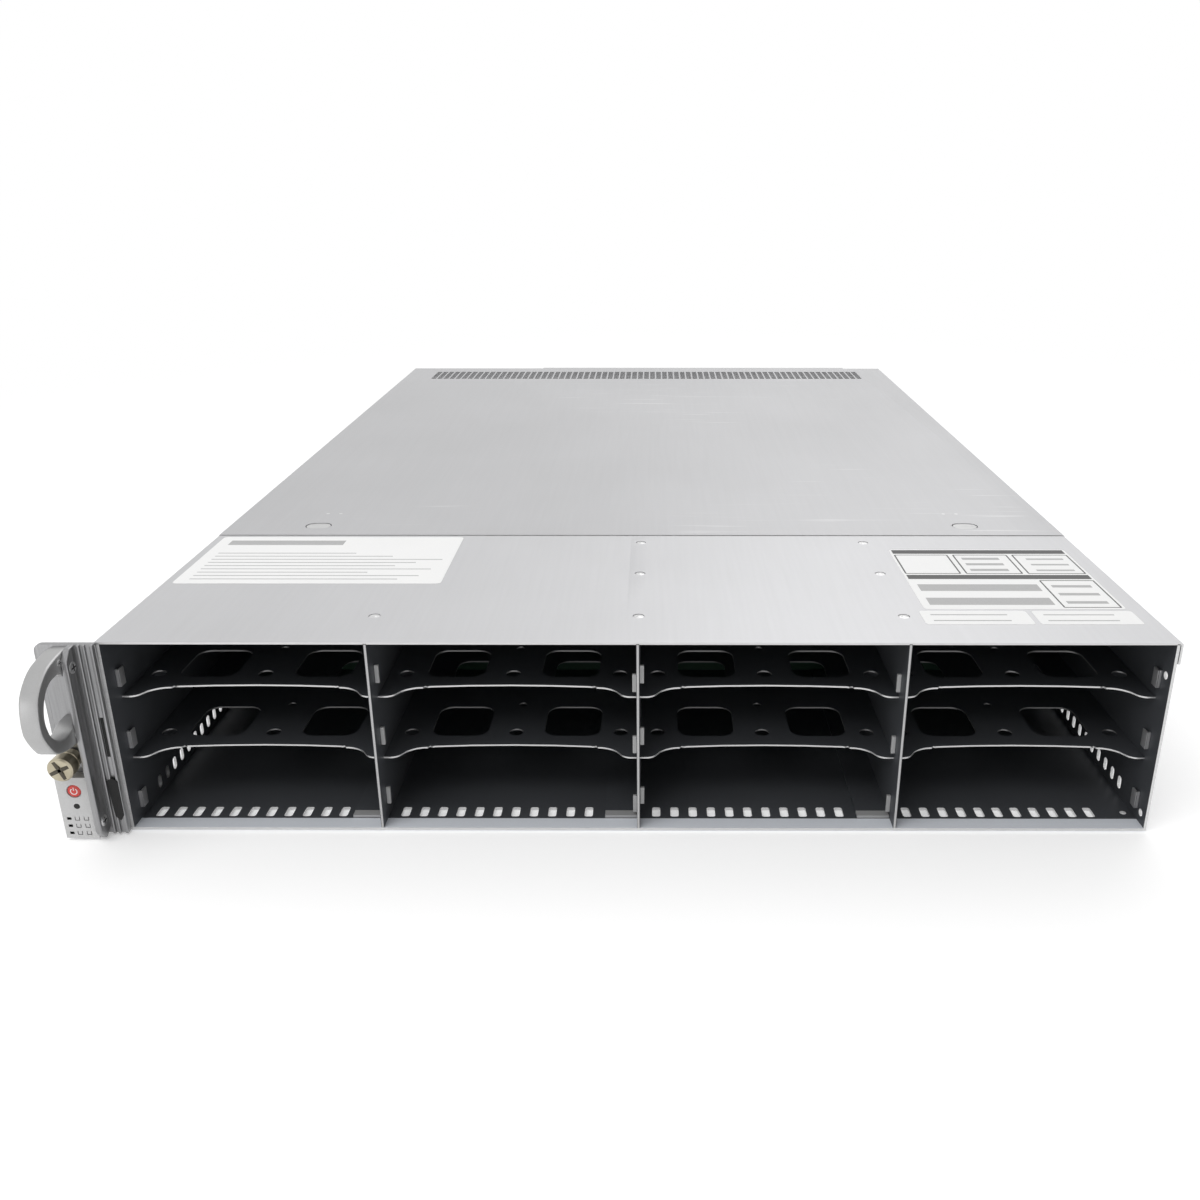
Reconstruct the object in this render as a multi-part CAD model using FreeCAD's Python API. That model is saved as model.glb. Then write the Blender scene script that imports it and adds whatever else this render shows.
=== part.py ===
import FreeCAD, Part
import math
import os

# A two-unit rack server: a bent steel tray with an empty drive cage in front, fans and a main board in the
# middle, and two slide-out power supplies, connector panels and card slots at the rear.
# Millimetres. +X is to the right seen from the front, +Y runs to the rear, +Z is up.
# The origin is on the underside of the tray, in the middle of its width and depth.

V = FreeCAD.Vector

# Driving dimensions: case
CHASSIS_WIDTH = 437.0
CHASSIS_HEIGHT = 88.0
CHASSIS_DEPTH = 647.0
RACK_WIDTH = 482.6
SHEET = 1.2
COVER_SHEET = 1.0
COVER_FLANGE = 9.5
SLIP = 0.3
SEAM_FROM_FRONT = 138.5

# Driving dimensions: drive cage
BAY_SPACING = 109.5
SHELF_SHEET = 1.0
SHELF_RISE = 28.8
SHELF_SETBACK = 19.0
SHELF_TIP = 9.0
TIP_FLAT = 5.5
TIP_RUN = 6.0
TIP_BEND = 5.0
SHELF_BOW = 1.5
WINDOW_WIDTH = 25.0
WINDOW_DEPTH = 28.5
WINDOW_OFFSET = 25.0
WINDOW_SETBACK = 10.0
CAGE_DEPTH = 158.0
BACKPLANE_GAP = 3.0
DIVIDER_FOOT = 14.0
DIVIDER_HEAD = 10.0
DIVIDER_FOOT_SETBACK = 8.0
TAB_SETBACK = 8.0
TAB_RISE = 9.0
TAB_HEIGHT = 8.0
TAB_REACH = 1.8
TAB_STAGGER = 2.0
FLOOR_SLOTS = 6
FLOOR_SLOT_PITCH = 16.0
FLOOR_SLOT_FIRST = 13.5
FLOOR_SLOT_WIDTH = 11.4
FLOOR_SLOT_LENGTH = 6.3
FLOOR_SLOT_SETBACK = 9.4
WALL_SLOTS = 6
WALL_SLOT_PITCH = 17.0
WALL_SLOT_WIDTH = 12.5
WALL_SLOT_HEIGHT = 5.0
WALL_SLOT_RISE = 3.0
WALL_SLOT_SETBACK = 27.0
EAR_HOLE_RADIUS = 1.7
EAR_HOLE_SETBACK = 5.0
EAR_HOLE_LOW = 6.0
EAR_HOLE_SPACING = 65.0

# Driving dimensions: inside
BACKPLANE_THICK = 2.4
SOCKET_WIDTH = 42.0
SOCKET_HEIGHT = 7.0
SOCKET_DEPTH = 8.0
FAN_HEADROOM = 5.8
FAN_DEPTH = 38.0
FAN_RIM = 1.8
DUCT_SIDES = 12
FAN_TIP_GAP = 1.2
FAN_HUB = 17.0
FAN_SHAFT = 2.5
FAN_STRUT = 5.0
FAN_SPACING = 140.0
FAN_BEHIND_BACKPLANE = 30.0
BLADES = 5
BLADE_PITCH = 38.0
ROOT_SHARE = 0.8
FOOT_SHARE = 0.72
CAP_SHARE = 0.25
FAN_BLADE, FAN_CHORD = 1.5, 24.0
PSU_BLADE, PSU_CHORD = 1.2, 13.0
SHAFT_FIT = 0.05
BOARD_STANDOFF = 4.7
BOARD_THICK = 1.6
BOARD_BEHIND_FANS = 4.0
BOARD_SIDE_GAP = 3.0
STANDOFF_WIDTH = 5.5
STANDOFF_INSET = 10.0
STANDOFF_FROM_REAR = 45.0
CPU_SINK_WIDTH = 90.0
CPU_SINK_HEIGHT = 52.0
CPU_SINK_BASE = 5.0
CPU_SINK_FINS = 11
CPU_SINK_FIN = 1.4
CPU_SOCKET = 60.0
CPU_SOCKET_HEIGHT = 5.0
CPU_FROM_MEMORY = 3.5
MEMORY_LENGTH = 133.0
MEMORY_HEIGHT = 25.0
MEMORY_THICK = 3.5
MEMORY_PITCH = 8.5
MEMORY_COUNT = 6
MEMORY_SLOT_HEIGHT = 6.0
MEMORY_LATCH = 4.0
MEMORY_FROM_EDGE = 3.0

# Driving dimensions: power supplies
PSU_WIDTH = 74.0
PSU_HEIGHT = 41.0
PSU_LENGTH = 330.0
PSU_WALL = 1.2
PSU_GAP = 0.5
PSU_PARTITION = 1.0
PSU_INSET = 2.0
PSU_FAN_INSET = 20.5
PSU_FAN_RADIUS = 19.0
PSU_FAN_DEPTH = 28.0
PSU_ROTOR_GAP = 1.0
PSU_HUB = 10.0
PSU_SPOKES = 8
PSU_SPOKE_WIDTH = 2.6
PSU_SHAFT = 1.5
PSU_STRUT = 8.0
PSU_STRUT_THICK = 3.0
GUARD_SIDES = 16
PSU_CONNECTOR = 4.0
INLET_WIDTH = 22.0
INLET_HEIGHT = 30.0
INLET_DEPTH = 22.0
INLET_PROUD = 1.5
INLET_FROM_FAN = 23.0
INLET_FROM_TOP = 2.5
SOCKET_MOUTH_WIDTH = 16.0
SOCKET_MOUTH_HEIGHT = 22.0
SOCKET_MOUTH_DEPTH = 16.0
SOCKET_CHAMFER = 4.5
BAIL_SPAN = 35.0
BAIL_REACH = 17.5
BAIL_WIRE = 2.6
BAIL_CORNER = 6.0
BAIL_STANDOFF = 3.4
LUG_WIDTH = 2.0
PIVOT_RADIUS = 1.2
PIN_SIDES = 8
LUG_WALL = 1.6
LEVER_WIDTH = 12.0
LEVER_HEIGHT = 6.3
LEVER_REACH = 14.0
LEVER_INSET = 4.0
LEVER_STROKE = 4.0
LEVER_STEM = 5.0
LEVER_STEM_HEIGHT = 2.4
LEVER_STEM_DEPTH = 8.0
LEVER_RISE = 1.0
LEVER_CORNER = 1.5

# Driving dimensions: rear panels
PANEL_RECESS = 12.5
PANEL_TOP_GAP = 0.5
VENT_PITCH = 6.7
VENT_HOLE = 5.2
CORNER_VENT_PITCH = 11.0
CORNER_VENT = 9.0
CORNER_VENT_X = 21.0
POST_ROW_COUNT = 13
POST_VENT_ROWS = 5
POST_SCREW_RADIUS = 1.6
CORNER_HOLE_RADIUS = 3.0
IO_VENT_PITCH, IO_VENT = 9.0, 7.2
POST_WIDTH = 16.0
POST_X = -89.0
CORNER_POST_WIDTH = 15.5
SLOT_WIDTH = 95.0
SLOT_RAIL = 6.32
SLOT_FOOT = 0.2
SLOT_HEAD = 3.82
SLOT_LAP = 2.0
SLOT_SIDE_LAP = 1.5
SLOT_FROM_CORNER = 1.0
SLOT_BLANK_SHEET = 0.9
SLOTS = 4
STRIP_HOLES = 5
STRIP_HOLE_HEIGHT = 3.0
STRIP_BAR = 2.0
STRIP_INSET = 4.0
CARD_VENT_COLUMNS, CARD_VENT_ROWS = 5, 2
CARD_VENT_WIDTH, CARD_VENT_HEIGHT = 8.6, 5.0
CARD_VENT_BAR = 1.4
CARD_VENT_OFFSET = 9.5
VENT_PANEL_WIDTH = 58.0
MIDDLE_BAY_LEFT = 52.0
MIDDLE_BAY_WIDTH = 102.0
MIDDLE_BAY_DEPTH = 24.0
LATCH_LENGTH = 18.0
LATCH_WIDTH = 10.0
LATCH_THICK = 7.0
LATCH_PIN = 2.0
LATCH_TILT = 35.0
LATCH_EAR = 18.0
LATCH_SHARE = 0.5
LEFT_CARD_SHARE = 0.33
LATCH_TAB_WIDTH = 22.0
LATCH_TAB_DROP = 5.0
LATCH_TAB_PROUD = 3.5
LATCH_MIDDLE_X = -3.0
MIDDLE_REAR_INSET = 1.0
CARD_X = -101.5
CARD_LENGTH = 150.0
CARD_GAP = 6.0
PORT_DEPTH = 21.0
PORT_PROUD = 1.5
PORT_WALL = 1.0

# Driving dimensions: connectors, as x of the centre, then width, bottom above the board and height
LAN_X, LAN_WIDTH, LAN_HEIGHT = 43.5, 26.4, 17.6
USB_X, USB_WIDTH, USB_HEIGHT = 17.5, 15.2, 21.4
USB_MOUTH_HEIGHT = 5.2
USB_TONGUE = 1.8
MGMT_X, MGMT_WIDTH, MGMT_HEIGHT = -0.3, 16.6, 14.0
JACK_MOUTH_WIDTH, JACK_MOUTH_HEIGHT, JACK_MOUTH_DEPTH = 11.7, 8.4, 13.0
JACK_NOTCH_WIDTH, JACK_NOTCH_HEIGHT = 6.0, 2.4
SERIAL_X, VGA_X = -27.0, -64.5
DSUB_RISE = 9.5
DSUB_SHELL_WIDTH, DSUB_SHELL_HEIGHT = 17.0, 8.4
DSUB_FLANGE_WIDTH, DSUB_FLANGE_HEIGHT = 31.0, 12.5
DSUB_SHELL_REACH = 6.0
DSUB_SCREW_PITCH, DSUB_SCREW_RADIUS, DSUB_SCREW_LENGTH = 25.0, 2.6, 5.0
SFP_X = (-37.5, -61.5)
SFP_WIDTH, SFP_HEIGHT, SFP_LENGTH, SFP_RISE = 15.0, 10.2, 42.0, 24.0
NETWORK_LEFT, NETWORK_WIDTH, NETWORK_HEIGHT = -20.5, 60.0, 15.0
NETWORK_RISE = 22.0

# Driving dimensions: lid
LID_SEAM_GAP = 0.5
VENT_COLUMNS, VENT_ROWS = 9, 3
LID_VENT_WIDTH = 388.0
LID_VENT_PITCH = 12.4
LID_VENT_HOLE = 9.8
LID_VENT_BAR = 3.0
LID_VENT_FROM_REAR = 17.5
LID_TONGUE_LEFT, LID_TONGUE_WIDTH = 184.7, 282.3
LID_TONGUE_REACH = 6.0
LID_LIP = 7.0
LID_CORNER_LIP = 4.5
BUTTON_X = 171.0
BUTTON_FROM_SEAM = 16.0
BUTTON_LENGTH = 13.0
BUTTON_WIDTH = 9.0
BUTTON_RIM = 1.6
BUTTON_RIM_THICK = 1.2

# Driving dimensions: ear
EAR_SHEET = 2.5
EAR_LEG = 40.0
EAR_LEG_SHEET = 2.0
FIN_X = 225.8
FIN_SHEET = 2.5
FIN_REACH = 8.0
EAR_RIB = 1.2
EAR_RIBS = 2
HANDLE_WIDTH = 7.4
HANDLE_REACH = 31.0
HANDLE_LOW = 47.0
HANDLE_HIGH = 87.0
HANDLE_BAND = 5.2
HANDLE_LEAN = 11.0
CONTROL_HEIGHT = 29.0
CONTROL_DEPTH = 5.0
CONTROL_FOOT = 0.8
POWER_RADIUS = 2.8
BUTTON_SIDES = 12
POWER_RISE = 22.5
POWER_TRAVEL = 1.0
THUMB_RISE = 37.0
THUMB_RADIUS = 5.3
THUMB_LENGTH = 8.0
THUMB_COLLAR = 4.2
THUMB_COLLAR_LENGTH = 4.0
THUMB_NECK = 2.1
THUMB_SHANK = 2.5
THUMB_SIDES = 12
THUMB_GAP = 0.6
THUMB_TAIL = 9.0

# Places that follow from the driving dimensions
HALF_WIDTH = CHASSIS_WIDTH / 2
FRONT = -CHASSIS_DEPTH / 2
REAR = CHASSIS_DEPTH / 2
WALL_OUT = HALF_WIDTH - COVER_SHEET - SLIP
WALL_IN = WALL_OUT - SHEET
COVER_UNDER = CHASSIS_HEIGHT - COVER_SHEET
SEAM = FRONT + SEAM_FROM_FRONT
CAGE_BACK = FRONT + CAGE_DEPTH
BACKPLANE_Y = CAGE_BACK + BACKPLANE_GAP
BAY_FLOORS = [SHEET, SHEET + SHELF_RISE, SHEET + 2 * SHELF_RISE]
PANEL_Y = REAR - PANEL_RECESS
PANEL_TOP = COVER_UNDER - PANEL_TOP_GAP
SLOT_PITCH = (PANEL_TOP - SHEET - SLOT_FOOT - SLOT_HEAD) / SLOTS
SLOT_WINDOW = SLOT_PITCH - SLOT_RAIL
SLOT_BLANK_HEIGHT = SLOT_WINDOW + 2 * SLOT_LAP
POST_ROW = (PANEL_TOP - SHEET) / POST_ROW_COUNT
BOARD_UNDER = SHEET + BOARD_STANDOFF
BOARD_TOP = BOARD_UNDER + BOARD_THICK
PSU_FACE = REAR - PSU_INSET
PSU_FLOOR = SHEET + SLIP
PSU_RIGHT = WALL_IN - SHEET - PSU_GAP - PSU_WIDTH
PSU_PITCH = PSU_WIDTH + 2 * PSU_GAP + PSU_PARTITION
PSU_LEFT_EDGES = [PSU_RIGHT, PSU_RIGHT - PSU_PITCH]
PSU_CAGE_TOP = PSU_FLOOR + PSU_HEIGHT + PSU_GAP
RISER_FLOOR = PSU_CAGE_TOP + SHEET
PSU_CAGE_RIGHT = PSU_LEFT_EDGES[1] - PSU_GAP - SHEET
BAIL_RISE = PSU_FLOOR + PSU_HEIGHT / 2
PANEL_LEFT = PSU_CAGE_RIGHT - SLIP
POST_LEFT = POST_X + POST_WIDTH / 2
POST_RIGHT = POST_X - POST_WIDTH / 2
CORNER_LEFT = -WALL_IN + CORNER_POST_WIDTH
EAR_FACE = FRONT - EAR_SHEET
EAR_EDGE = -RACK_WIDTH / 2
FIN_LEFT = -FIN_X - FIN_SHEET / 2
CONTROL_WIDTH = FIN_LEFT - EAR_EDGE - SLIP
CONTROL_X = EAR_EDGE + CONTROL_WIDTH / 2


# Shape helpers

FINE_CORNER = 6.5

AXES = {"x": V(1, 0, 0), "y": V(0, 1, 0), "z": V(0, 0, 1)}


def block(x, y, z):
    """A box from three (low, high) pairs."""
    size = [high - low for low, high in (x, y, z)]
    return Part.makeBox(*size, V(x[0], y[0], z[0]))


def rod(axis, u, v, radius, low, high):
    """A round bar along an axis; u and v are its centre on the other two axes in X, Y, Z order."""
    return Part.makeCylinder(radius, high - low, place(axis, u, v, low), AXES[axis])


def place(axis, u, v, at):
    return {"x": V(at, u, v), "y": V(u, at, v), "z": V(u, v, at)}[axis]


def rect(u, v, corner=0.0):
    """A rectangular loop from two (low, high) pairs, with rounded corners where corner is given."""
    return [(u[0], v[0], corner), (u[1], v[0], corner), (u[1], v[1], corner), (u[0], v[1], corner)]


def centred(u, v, width, height, corner=0.0):
    return rect((u - width / 2, u + width / 2), (v - height / 2, v + height / 2), corner)


def polygon(u, v, radius, sides=6):
    """A regular loop whose flats lie at the radius from its centre."""
    turns = [math.radians(360 * (i + 0.5) / sides) for i in range(sides)]
    reach = radius / math.cos(math.pi / sides)
    return [(u + reach * math.cos(turn), v + reach * math.sin(turn), 0) for turn in turns]


def wire(axis, at, loop):
    """A closed wire from points (u, v, corner radius), or a circle from (u, v, radius) alone.

    A corner below FINE_CORNER is rounded by two flats, and a larger one by an arc.
    """
    if len(loop) == 1:
        u, v, radius = loop[0]
        return Part.Wire(Part.makeCircle(radius, place(axis, u, v, at), AXES[axis]))
    ends = []
    count = len(loop)
    for i, (u, v, radius) in enumerate(loop):
        corner = place(axis, u, v, at)
        if radius <= 0:
            ends.append((corner, corner, corner, 0))
            continue
        back = place(axis, *loop[i - 1][:2], at).sub(corner).normalize()
        ahead = place(axis, *loop[(i + 1) % count][:2], at).sub(corner).normalize()
        half = back.getAngle(ahead) / 2
        run = radius / math.tan(half)
        middle = back.add(ahead).normalize().multiply(radius / math.sin(half) - radius)
        ends.append((corner.add(back * run), corner.add(middle), corner.add(ahead * run), radius))
    edges = []
    for i, (start, middle, end, radius) in enumerate(ends):
        if radius >= FINE_CORNER:
            edges.append(Part.Arc(start, middle, end).toShape())
        elif radius > 0:
            edges += Part.makePolygon([start, middle, end]).Edges
        following = ends[(i + 1) % count][0]
        if end.distanceToPoint(following) > 1e-6:
            edges.append(Part.LineSegment(end, following).toShape())
    return Part.Wire(edges)


def plate(axis, low, high, outline, holes=()):
    """A flat piece between two planes across an axis, with its holes."""
    wires = [wire(axis, low, loop) for loop in [outline, *holes]]
    face = Part.makeFace(wires, "Part::FaceMakerBullseye")
    return face.extrude(AXES[axis] * (high - low))


def grid(u, v, columns, rows, pitch_u, pitch_v, width, height):
    """Rectangular holes in rows and columns about a centre."""
    return [
        centred(u + (i - (columns - 1) / 2) * pitch_u, v + (j - (rows - 1) / 2) * pitch_v, width, height)
        for i in range(columns)
        for j in range(rows)
    ]


def joined(*shapes):
    return shapes[0].fuse(list(shapes[1:])).removeSplitter()


def group(*shapes):
    return Part.makeCompound(list(shapes))


def bay_spans():
    """The clear (left, right) of each drive column."""
    edges = [-WALL_IN, -BAY_SPACING, 0, BAY_SPACING, WALL_IN]
    spans = []
    for left, right in zip(edges, edges[1:]):
        low = left if left == -WALL_IN else left + SHEET / 2
        high = right if right == WALL_IN else right - SHEET / 2
        spans.append((low, high))
    return spans


# Case

def chassis_tray():
    """Floor and side walls bent from one sheet, with intake slots, ear screw holes and board pillars."""
    outer = block((-WALL_OUT, WALL_OUT), (FRONT, REAR), (0, COVER_UNDER))
    inner = block((-WALL_IN, WALL_IN), (FRONT - 1, REAR + 1), (SHEET, COVER_UNDER + 1))
    tray = outer.cut(inner)
    slot_front = FRONT + FLOOR_SLOT_SETBACK
    tools = []
    for left, _ in bay_spans():
        for i in range(FLOOR_SLOTS):
            x = left + FLOOR_SLOT_FIRST + i * FLOOR_SLOT_PITCH
            tools.append(block((x - FLOOR_SLOT_WIDTH / 2, x + FLOOR_SLOT_WIDTH / 2),
                               (slot_front, slot_front + FLOOR_SLOT_LENGTH), (-1, SHEET + 1)))
    for i in range(WALL_SLOTS):
        y = FRONT + WALL_SLOT_SETBACK + i * WALL_SLOT_PITCH
        z = SHEET + WALL_SLOT_RISE
        tools.append(block((-WALL_OUT - 1, WALL_OUT + 1), (y, y + WALL_SLOT_WIDTH), (z, z + WALL_SLOT_HEIGHT)))
    for z in (EAR_HOLE_LOW, EAR_HOLE_LOW + EAR_HOLE_SPACING):
        tools.append(rod("x", FRONT + EAR_HOLE_SETBACK, z, EAR_HOLE_RADIUS, WALL_IN - 1, WALL_OUT + 1))
    tray = tray.cut(tools)
    tabs = []
    for floor in BAY_FLOORS:
        for side in (-1, 1):
            tabs.append(catch_tab(side * WALL_IN, -side, floor + TAB_RISE))
    return joined(tray, *tabs, *board_standoffs())


def catch_tab(x, side, z):
    """A small lanced tab that a drive carrier hooks on; side is the way it stands out."""
    low, high = sorted((x, x + side * TAB_REACH))
    y = FRONT + TAB_SETBACK
    return block((low, high), (y, y + SHEET), (z - TAB_HEIGHT / 2, z + TAB_HEIGHT / 2))


def cover_flanges(front, rear):
    low = CHASSIS_HEIGHT - COVER_FLANGE
    return [
        block((-HALF_WIDTH, -HALF_WIDTH + COVER_SHEET), (front, rear), (low, COVER_UNDER)),
        block((HALF_WIDTH - COVER_SHEET, HALF_WIDTH), (front, rear), (low, COVER_UNDER)),
    ]


def front_top_cover():
    """The fixed cover over the drive cage: its top sheet, and a flange down each side that meets it at the bend."""
    top = block((-HALF_WIDTH, HALF_WIDTH), (FRONT, SEAM), (COVER_UNDER, CHASSIS_HEIGHT))
    return group(top, *cover_flanges(FRONT, SEAM))


# Drive cage

def bay_divider(x):
    """An upright between two drive columns: a Z-shaped sheet with a foot, a head and catch tabs."""
    left, right = x - SHEET / 2, x + SHEET / 2
    web = block((left, right), (FRONT, CAGE_BACK), (SHEET, COVER_UNDER))
    foot = block((left - DIVIDER_FOOT, left), (FRONT + DIVIDER_FOOT_SETBACK, CAGE_BACK), (SHEET, 2 * SHEET))
    head = block((right, right + DIVIDER_HEAD), (FRONT + DIVIDER_FOOT_SETBACK, CAGE_BACK),
                 (COVER_UNDER - SHEET, COVER_UNDER))
    tabs = []
    for floor in BAY_FLOORS:
        tabs.append(catch_tab(left, -1, floor + TAB_RISE - TAB_STAGGER))
        tabs.append(catch_tab(right, 1, floor + TAB_RISE + TAB_STAGGER))
    return joined(web, foot, head, *tabs)


def bay_shelf(span, top):
    """A flat drive shelf: its front edge bows back between two ogee tips, behind which lie two windows."""
    left, right = span
    middle, half = (left + right) / 2, (right - left) / 2
    edge = FRONT + SHELF_SETBACK
    tip = edge - SHELF_TIP
    shoulder = TIP_FLAT + TIP_RUN
    corner = [(half, tip, 0), (half - TIP_FLAT, tip, TIP_BEND), (half - shoulder, edge, TIP_BEND)]
    front_edge = [(middle - u, v, r) for u, v, r in corner]
    front_edge.append((middle, edge + SHELF_BOW, 0))
    front_edge += [(middle + u, v, r) for u, v, r in reversed(corner)]
    outline = front_edge + [(right, CAGE_BACK, 0), (left, CAGE_BACK, 0)]
    window_y = edge + WINDOW_SETBACK + WINDOW_DEPTH / 2
    windows = [centred(middle + offset, window_y, WINDOW_WIDTH, WINDOW_DEPTH)
               for offset in (-WINDOW_OFFSET, WINDOW_OFFSET)]
    return plate("z", top - SHELF_SHEET, top, outline, windows)


def bay_shelves(span):
    return group(*[bay_shelf(span, floor) for floor in BAY_FLOORS[1:]])


def drive_backplane():
    """The board that closes the cage, with a tall air slot each side of every connector column."""
    outline = rect((-WALL_IN + SLIP, WALL_IN - SLIP), (SHEET, COVER_UNDER - SLIP))
    slots = []
    for left, right in bay_spans():
        middle = (left + right) / 2
        reach = SOCKET_WIDTH / 2 + (right - left - SOCKET_WIDTH) / 4
        for x in (middle - reach, middle + reach):
            slots.append(centred(x, CHASSIS_HEIGHT / 2, (right - left - SOCKET_WIDTH) / 3, CHASSIS_HEIGHT * 0.7))
    return plate("y", BACKPLANE_Y, BACKPLANE_Y + BACKPLANE_THICK, outline, slots)


def backplane_sockets():
    """One drive socket for each bay, soldered to the front of the backplane."""
    sockets = []
    for left, right in bay_spans():
        middle = (left + right) / 2
        for floor in BAY_FLOORS:
            low = floor + TAB_RISE
            sockets.append(block((middle - SOCKET_WIDTH / 2, middle + SOCKET_WIDTH / 2),
                                 (BACKPLANE_Y - SOCKET_DEPTH, BACKPLANE_Y), (low, low + SOCKET_HEIGHT)))
    return group(*sockets)


# Fans

FAN_SIZE = COVER_UNDER - SHEET - FAN_HEADROOM
FAN_DUCT = FAN_SIZE / 2 - FAN_RIM
FAN_FRONT = BACKPLANE_Y + BACKPLANE_THICK + FAN_BEHIND_BACKPLANE
FAN_Z = SHEET + FAN_SIZE / 2
FAN_XS = [-FAN_SPACING, 0, FAN_SPACING]


def fan_housing(x):
    """A square fan frame with a round duct, and a four-arm spider at the rear that carries the shaft."""
    rear = FAN_FRONT + FAN_DEPTH
    frame = plate("y", FAN_FRONT, rear, centred(x, FAN_Z, FAN_SIZE, FAN_SIZE),
                  [polygon(x, FAN_Z, FAN_DUCT, DUCT_SIDES)])
    arms = [
        centred(x, FAN_Z, 2 * FAN_DUCT + FAN_STRUT / 2, FAN_STRUT),
        centred(x, FAN_Z, FAN_STRUT, 2 * FAN_DUCT + FAN_STRUT / 2),
    ]
    spider = [plate("y", rear - FAN_STRUT, rear, arm) for arm in arms]
    hub = plate("y", rear - FAN_STRUT, rear, polygon(x, FAN_Z, FAN_HUB, 2 * BLADES))
    shaft = rod("y", x, FAN_Z, FAN_SHAFT, FAN_FRONT + FAN_DEPTH / 2, rear)
    return joined(frame, *spider, hub, shaft)


def rotor(x, z, front, rear, hub, tip, shaft, thick, chord):
    """A fan wheel: a hub, bored for its shaft from the rear, and pitched blades that widen to the tip."""
    body = plate("y", front, rear, polygon(x, z, hub, 2 * BLADES))
    blades = []
    root = hub * ROOT_SHARE
    foot = chord / 2 * FOOT_SHARE
    outline = [(root, -foot, 0), (tip, -chord / 2, 0), (tip, chord / 2, 0), (root, foot, 0)]
    for i in range(BLADES):
        blade = plate("y", -thick / 2, thick / 2, outline)
        blade.rotate(V(0, 0, 0), V(1, 0, 0), BLADE_PITCH)
        blade.rotate(V(0, 0, 0), V(0, 1, 0), 360.0 * i / BLADES)
        blade.translate(V(x, (front + rear) / 2, z))
        blades.append(blade)
    bore = plate("y", front + (rear - front) * CAP_SHARE, rear + 1, polygon(x, z, shaft + SHAFT_FIT, 2 * BLADES))
    return body.fuse(blades).removeSplitter().cut(bore)


def case_fan_rotor(x):
    rear = FAN_FRONT + FAN_DEPTH - FAN_STRUT - SLIP
    tip = FAN_DUCT - FAN_TIP_GAP - FAN_BLADE
    return rotor(x, FAN_Z, FAN_FRONT + SLIP, rear, FAN_HUB, tip, FAN_SHAFT, FAN_BLADE, FAN_CHORD)


# Main board

BOARD_LEFT, BOARD_RIGHT = -WALL_IN + BOARD_SIDE_GAP, PSU_CAGE_RIGHT - BOARD_SIDE_GAP
BOARD_FRONT = FAN_FRONT + FAN_DEPTH + BOARD_BEHIND_FANS
BOARD_REAR = PANEL_Y - SHEET - SLOT_BLANK_SHEET - SLIP
MEMORY_REACH = MEMORY_LENGTH / 2 + MEMORY_LATCH
CPU_Y = BOARD_FRONT + MEMORY_FROM_EDGE + MEMORY_REACH
MEMORY_X = (BOARD_LEFT + BOARD_RIGHT) / 2
MEMORY_XS = [MEMORY_X + (i - (MEMORY_COUNT - 1) / 2) * MEMORY_PITCH for i in range(MEMORY_COUNT)]
CPU_REACH = MEMORY_XS[-1] - MEMORY_X + MEMORY_THICK + CPU_FROM_MEMORY + CPU_SINK_WIDTH / 2
CPU_XS = [MEMORY_X - CPU_REACH, MEMORY_X + CPU_REACH]


def motherboard():
    """The main board, with its processor sockets and memory slots."""
    board = block((BOARD_LEFT, BOARD_RIGHT), (BOARD_FRONT, BOARD_REAR), (BOARD_UNDER, BOARD_TOP))
    sockets = [
        block((x - CPU_SOCKET / 2, x + CPU_SOCKET / 2), (CPU_Y - CPU_SOCKET / 2, CPU_Y + CPU_SOCKET / 2),
              (BOARD_TOP, BOARD_TOP + CPU_SOCKET_HEIGHT))
        for x in CPU_XS
    ]
    slots = [
        block((x - MEMORY_THICK, x + MEMORY_THICK), (CPU_Y - MEMORY_REACH, CPU_Y + MEMORY_REACH),
              (BOARD_TOP, BOARD_TOP + MEMORY_SLOT_HEIGHT))
        for x in MEMORY_XS
    ]
    return joined(board, *sockets, *slots)


def board_standoffs():
    """The pressed-in pillars of the tray that carry the main board."""
    xs = [BOARD_LEFT + STANDOFF_INSET, (BOARD_LEFT + BOARD_RIGHT) / 2, BOARD_RIGHT - STANDOFF_INSET]
    ys = [BOARD_FRONT + STANDOFF_INSET, (BOARD_REAR + BOARD_FRONT) / 2, BOARD_REAR - STANDOFF_FROM_REAR]
    return [plate("z", SHEET, BOARD_UNDER, polygon(x, y, STANDOFF_WIDTH / 2)) for x in xs for y in ys]


def cpu_heatsinks():
    """Two finned coolers: a base plate and a comb of upright fins along the air flow."""
    sinks = []
    low = BOARD_TOP + CPU_SOCKET_HEIGHT
    for x in CPU_XS:
        left = x - CPU_SINK_WIDTH / 2
        pitch = (CPU_SINK_WIDTH - CPU_SINK_FIN) / (CPU_SINK_FINS - 1)
        outline = [(left, low, 0), (left + CPU_SINK_WIDTH, low, 0)]
        for i in reversed(range(CPU_SINK_FINS)):
            fin = left + i * pitch
            top, base = low + CPU_SINK_HEIGHT, low + CPU_SINK_BASE
            corners = [(fin + CPU_SINK_FIN, base), (fin + CPU_SINK_FIN, top), (fin, top), (fin, base)]
            if i == CPU_SINK_FINS - 1:
                corners = corners[1:]
            if i == 0:
                corners = corners[:-1]
            outline += [(u, v, 0) for u, v in corners]
        sinks.append(plate("y", CPU_Y - CPU_SINK_WIDTH / 2, CPU_Y + CPU_SINK_WIDTH / 2, outline))
    return group(*sinks)


def memory_modules():
    low = BOARD_TOP + MEMORY_SLOT_HEIGHT
    return group(*[
        block((x - MEMORY_THICK / 2, x + MEMORY_THICK / 2),
              (CPU_Y - MEMORY_LENGTH / 2, CPU_Y + MEMORY_LENGTH / 2), (low, low + MEMORY_HEIGHT))
        for x in MEMORY_XS
    ])


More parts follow.
